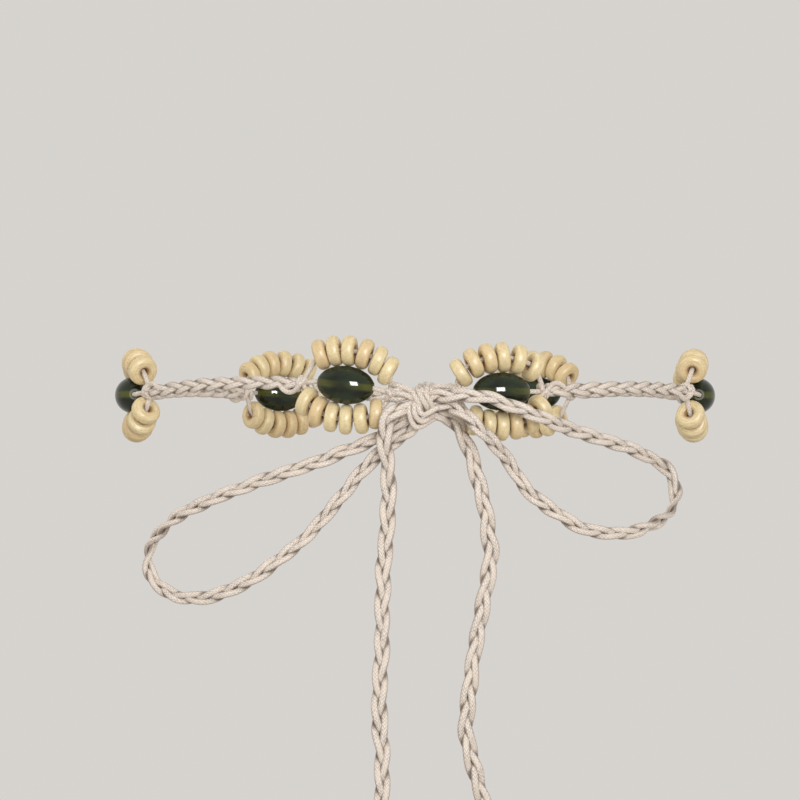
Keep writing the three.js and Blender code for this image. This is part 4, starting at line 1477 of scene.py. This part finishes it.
BELT_END_CORDS: tuple[Route, ...] = (
    ((-10.2, 1.6, 6.0), (-7.8, 1.2, 8.4), (-5.0, 0.2, 9.8), (-1.6, -1.4, 10.2), (0.8, -3.4, 9.0)),
    ((-9.6, -1.8, 7.6), (-7.4, -0.8, 9.0), (-4.8, -0.6, 9.0), (-1.6, -2.6, 9.8), (0.8, -4.4, 9.6)),
    ((-10.2, -3.0, 7.4), (-7.6, -2.2, 9.8), (-4.8, -2.6, 11.2), (-1.8, -4.0, 11.2), (0.8, -5.6, 9.6)),
    ((-10.0, -4.6, 7.0), (-7.4, -4.6, 9.2), (-4.6, -4.0, 9.4), (-1.8, -3.4, 9.4), (0.8, -4.6, 8.6)),
    ((15.8, 0.2, 6.6), (12.6, 0.4, 8.6), (9.2, 0.6, 10.2), (5.8, -0.2, 9.8), (2.6, -2.0, 8.6)),
    ((15.6, -1.6, 7.0), (12.4, -1.0, 8.4), (9.0, -1.8, 9.4), (5.6, -1.8, 10.6), (2.6, -3.2, 9.4)),
    ((15.4, -3.2, 6.6), (12.2, -3.0, 8.6), (8.8, -3.4, 9.6), (5.6, -3.8, 9.2), (2.6, -4.8, 8.4)),
)
CUT_END_CORDS: tuple[Route, ...] = (
    ((3.4, -5.4, 9.6), (3.0, -3.2, 10.6), (2.6, -1.4, 11.0), (2.1, 0.2, 11.2)),
    ((4.6, -5.0, 9.4), (4.5, -2.8, 10.8), (4.3, -0.8, 11.6), (4.0, 0.7, 12.0)),
    ((6.2, -4.4, 9.0), (6.2, -2.6, 10.6), (6.1, -1.0, 11.2), (6.2, 0.3, 11.4)),
)


@dataclass
class Bow:
    """The bow: its two loops, its two tails with their end knots, and the knot in the middle."""

    waist: Waist
    spacing: float = 0.7
    braid: Braid = Braid(2.6, 2.1, 1.62, 1.15, 12.4)
    tail_braid: Braid = Braid(3.0, 2.2, 1.9, 1.2, 13.0)
    cord: float = 2.2
    flip_length: float = 80.0
    gathering: float = 14.0
    tight: float = 0.55
    loosening: float = 0.45
    fray: int = 11
    fray_length: float = 1.9
    fray_cord: float = 0.6
    fray_spacing: float = 0.5
    fray_root: float = 1.2
    fray_ahead: float = 0.6
    end_knot_back: float = 1.4
    tail_fray_spread: float = 2.6
    knot_fray_spread: float = 2.9
    seed: int = 11
    end_turns: KnotTurns = KnotTurns((-1.9, 0.2, 2.2), (0.7, 0.9, 0.6), 3.0, 2.4)
    plait: PlaitedCord = field(default_factory=PlaitedCord)
    sweep: SweptCord = field(default_factory=SweptCord)
    fine_sweep: SweptCord = field(default_factory=lambda: SweptCord(6))

    def line(self, rows: Route) -> CordPath:
        """The smooth line of a route over the front."""
        points = np.array([self.waist.front(*row) for row in rows])
        points = smooth_line(points, self.spacing)
        return CordPath(points, np.array([self.waist.front_outward(p) for p in points]))

    def route(self, rows: Route, returns: bool) -> CordPath:
        """A tie's whole line, out of the knot's heart and, for a loop, back to it.

        A loop's flat face turns over round its far end, where the braid stands on its edge.

        Args:
            rows: The given route.
            returns: Whether it comes back to the knot.

        Returns:
            The line, with its face and its gather towards the knot.
        """
        heart = (KNOT_HEART,)
        path = self.line(heart + rows + (heart if returns else ()))
        along = near = lengths_along(path.points)
        if returns:
            near = np.minimum(along, along[-1] - along)
            forward = unit(np.gradient(path.points, axis=0))
            far = along[np.argmax(np.abs(path.points[:, 0]))]
            turn = math.pi * ease((along - far) / self.flip_length + 0.5)[:, None]
            side = np.cross(forward, path.outward)
            path.outward = path.outward * np.cos(turn) + side * np.sin(turn)
        path.gather = self.tight + self.loosening * ease(near / self.gathering)
        HandTension(start=float(rows[0][0])).apply(path)
        return path

    def tie(self, name: str, rows: Route, direction: float, finish: Material) -> None:
        """Plaits one loop, which comes back to the knot, or one tail, which ends in its own knot.

        Args:
            name: The tie's name, as the part's node has it after its first word.
            rows: Its given route.
            direction: Which way its V shapes point.
            finish: The cotton.
        """
        node, name = f"tie_{name}", f"bow_{name}"
        returns = "loop" in name
        path = self.route(rows, returns)
        braid = replace(self.braid if returns else self.tail_braid, direction=direction)
        values = braid.inputs(self.plait.sides, finish)
        piece = build_with(name, path_mesh(name, [path]), self.plait.tree, values)
        if not returns:
            join(piece, self.end_knot(name, path, finish))
        dress(piece, SlotName.CORD, [node])

    def end_knot(self, name: str, path: CordPath, finish: Material) -> Object:
        """The knot that stops a tail, with its frayed yarns under it.

        Args:
            name: The tail's name.
            path: The tail's line.
            finish: The cotton.

        Returns:
            The knot's piece, to be joined to the tail.
        """
        end, axes = path.points[-1], path.end_axes(6)
        turns = self.end_turns.paths(end - axes[:, 0] * self.end_knot_back, axes)
        yarns = self.yarns(end + axes[:, 0] * self.fray_ahead, axes, self.tail_fray_spread)
        knot = self.sweep.cords(f"{name}_end", turns, self.cord, finish)
        join(knot, self.fine_sweep.cords(f"{name}_yarns", yarns, self.fray_cord, finish))
        return knot

    def yarns(self, start: np.ndarray, axes: np.ndarray, spread: float) -> list[CordPath]:
        """Short loose yarns at a cord's cut end.

        Args:
            start: The middle of the cut end.
            axes: Columns along the cord, outwards and across.
            spread: How far apart the yarns' tips stand.

        Returns:
            One path for each yarn.
        """
        chance = np.random.default_rng(self.seed)
        paths = []
        for i in range(self.fray):
            angle = 2 * math.pi * (i + chance.uniform(-0.3, 0.3)) / self.fray
            reach = chance.uniform(0.3, 1.0)
            side = np.array([0.0, math.cos(angle), math.sin(angle)]) * reach
            length = self.fray_length * chance.uniform(0.6, 1.0)
            root = side * 0.7 - [self.fray_root, 0, 0]
            rows = np.array([root, side * 0.8, side * spread / 2])
            rows[1:, 0] = length * 0.4, length
            points = smooth_line(start + rows @ axes.T, self.fray_spacing)
            paths.append(CordPath(points, np.tile(axes[:, 1], (len(points), 1))))
        return paths

    def knot(self, finish: Material) -> None:
        """Ties the knot in the middle from its own short cords."""
        routes = WRAP_CORDS + LOBE_CORDS + BELT_END_CORDS + CUT_END_CORDS
        paths = [self.line(rows) for rows in routes]
        yarns = []
        for path in paths[-len(CUT_END_CORDS) :]:
            yarns.extend(self.yarns(path.points[-1], path.end_axes(3), self.knot_fray_spread))
        piece = self.sweep.cords("bow_knot_cords", paths, self.cord, finish)
        join(piece, self.fine_sweep.cords("bow_knot_yarns", yarns, self.fray_cord, finish))
        dress(piece, SlotName.CORD, ["bow_knot"])

    def build(self, finish: Material) -> None:
        """Makes the whole bow."""
        self.knot(finish)
        self.tie("loop_left", LOOP_LEFT, -1.0, finish)
        self.tie("loop_right", LOOP_RIGHT, -1.0, finish)
        self.tie("tail_left", TAIL_LEFT, -1.0, finish)
        self.tie("tail_right", TAIL_RIGHT, 1.0, finish)


@dataclass
class Studio:
    """The camera at the photograph's viewing angle, soft lights and a pale floor."""

    camera_at: tuple[float, float, float] = (-6.4, -1380.0, -4.8)
    lens: float = 146.25
    sensor: float = 36.0
    floor_height: float = -300.0
    floor_half: float = 920.0
    surround: str = "DAD7D3"
    surround_strength: float = 0.96

    def camera(self) -> None:
        """Puts the camera in front, level and looking straight ahead."""
        data = bpy.data.cameras.new("camera")
        data.lens = self.lens
        data.sensor_width = self.sensor
        camera = new_object("camera", data)
        camera.location = [v * MM for v in self.camera_at]
        camera.rotation_euler = (math.radians(90), 0.0, 0.0)
        bpy.context.scene.camera = camera

    def softbox(
        self,
        name: str,
        place: tuple[float, float, float],
        width: float,
        power: float,
        mirrored: bool = False,
        lighting: bool = True,
    ) -> None:
        """Hangs a square soft light that faces the chain.

        Args:
            name: The light's name.
            place: Where it hangs, in metres.
            width: Its side, in metres.
            power: Its power in watts.
            mirrored: Whether polished things show its reflection.
            lighting: Whether it lights matte surfaces.
        """
        data = bpy.data.lights.new(name, "AREA")
        data.shape = "SQUARE"
        data.size = width
        data.energy = power
        light = new_object(name, data)
        light.location = place
        light.visible_glossy = mirrored
        light.visible_diffuse = lighting
        light.rotation_euler = (-Vector(place)).to_track_quat("-Z", "Y").to_euler()

    def surroundings(self) -> None:
        """An even pale surround that fills the shadows."""
        world = bpy.data.worlds.new("studio")
        world.use_nodes = True
        levels = {"Color": self.surround, "Strength": self.surround_strength}
        feed(world.node_tree.nodes["Background"], levels)
        bpy.context.scene.world = world

    def floor(self) -> None:
        """A pale floor under the chain, faded out before it comes into the camera's view."""
        mesh = bpy.data.meshes.new("floor")
        half = self.floor_half * MM
        corners = [(x * half, y * half, 0.0) for x, y in ((-1, -1), (1, -1), (1, 1), (-1, 1))]
        mesh.from_pydata(corners, [], [(0, 1, 2, 3)])
        mesh.materials.append(MattePaper().material())
        floor = new_object("floor", mesh)
        floor.location.z = self.floor_height * MM
        floor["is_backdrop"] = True

    def build(self) -> None:
        """Sets up the camera, the lights and the floor."""
        self.camera()
        self.surroundings()
        self.softbox("key_softbox", (0.26, -1.25, 0.28), 0.55, 7.4, mirrored=True)
        self.softbox("catch_softbox", (0.25, -1.2, 0.27), 0.44, 20.0, mirrored=True, lighting=False)
        self.softbox("side_softbox", (-1.1, -0.7, 1.0), 0.9, 4.2)
        self.softbox("rear_softbox", (-0.4, 1.35, 0.7), 0.9, 6.0)
        self.floor()
        bpy.context.scene.view_settings.view_transform = "Standard"


@dataclass
class WaistChain:
    """The whole chain: motifs round the oval, the braids between them and the bow."""

    front_left_along: float = -27.0
    front_right_along: float = 33.0
    braid_names: tuple[str, ...] = ("left_front", "left_back", "back", "right_back", "right_front")

    def motifs(self) -> list[Motif]:
        """The six motifs in order, from the bow round by the -X side."""
        rows = [
            Motif("front_left", FLOWER_A, rise=1.2, roll=-7, sag=1.6),
            Motif("side_left", FLOWER_B, rise=-2.8, roll=2, sag=-0.8),
            Motif("back_left", FLOWER_A, rise=-2.2, roll=3, sag=0.4),
            Motif("back_right", FLOWER_B, rise=-2.2, roll=-3, sag=0.4),
            Motif("side_right", FLOWER_A, rise=-3, roll=-2, sag=-1.4),
            Motif("front_right", FLOWER_B, rise=-1.4, roll=0, sag=0),
        ]
        gap = self.front_right_along - self.front_left_along
        pitch = (2 * rows[0].waist.half_loop - gap) / (len(rows) - 1)
        for i, motif in enumerate(rows):
            motif.along = self.front_left_along - i * pitch
        return rows

    def build(self) -> None:
        """Builds and dresses every piece of the chain."""
        cotton = WaxedCotton().material()
        wood = VarnishedWood().material()
        resin = OliveResin().material()
        motifs = self.motifs()
        beads, cords = GreenBeads(), MotifCords()
        for motif in motifs:
            beads.build(motif, resin)
            cords.build(motif, cotton)
        Rondelles().build(motifs, wood)
        belt = BeltBraids()
        for name, first, last in zip(self.braid_names, motifs, motifs[1:]):
            belt.build(name, first, last, cotton)
        Bow(motifs[0].waist).build(cotton)


def main() -> None:
    """Builds the studio and the chain."""
    logging.basicConfig(level=logging.INFO, format="%(message)s")
    Studio().build()
    WaistChain().build()
    boxes = {"cad": CAD_BOX, "visual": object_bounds()}
    plain = {name: [list(corner) for corner in box] for name, box in boxes.items()}


if __name__ == "__main__":
    main()
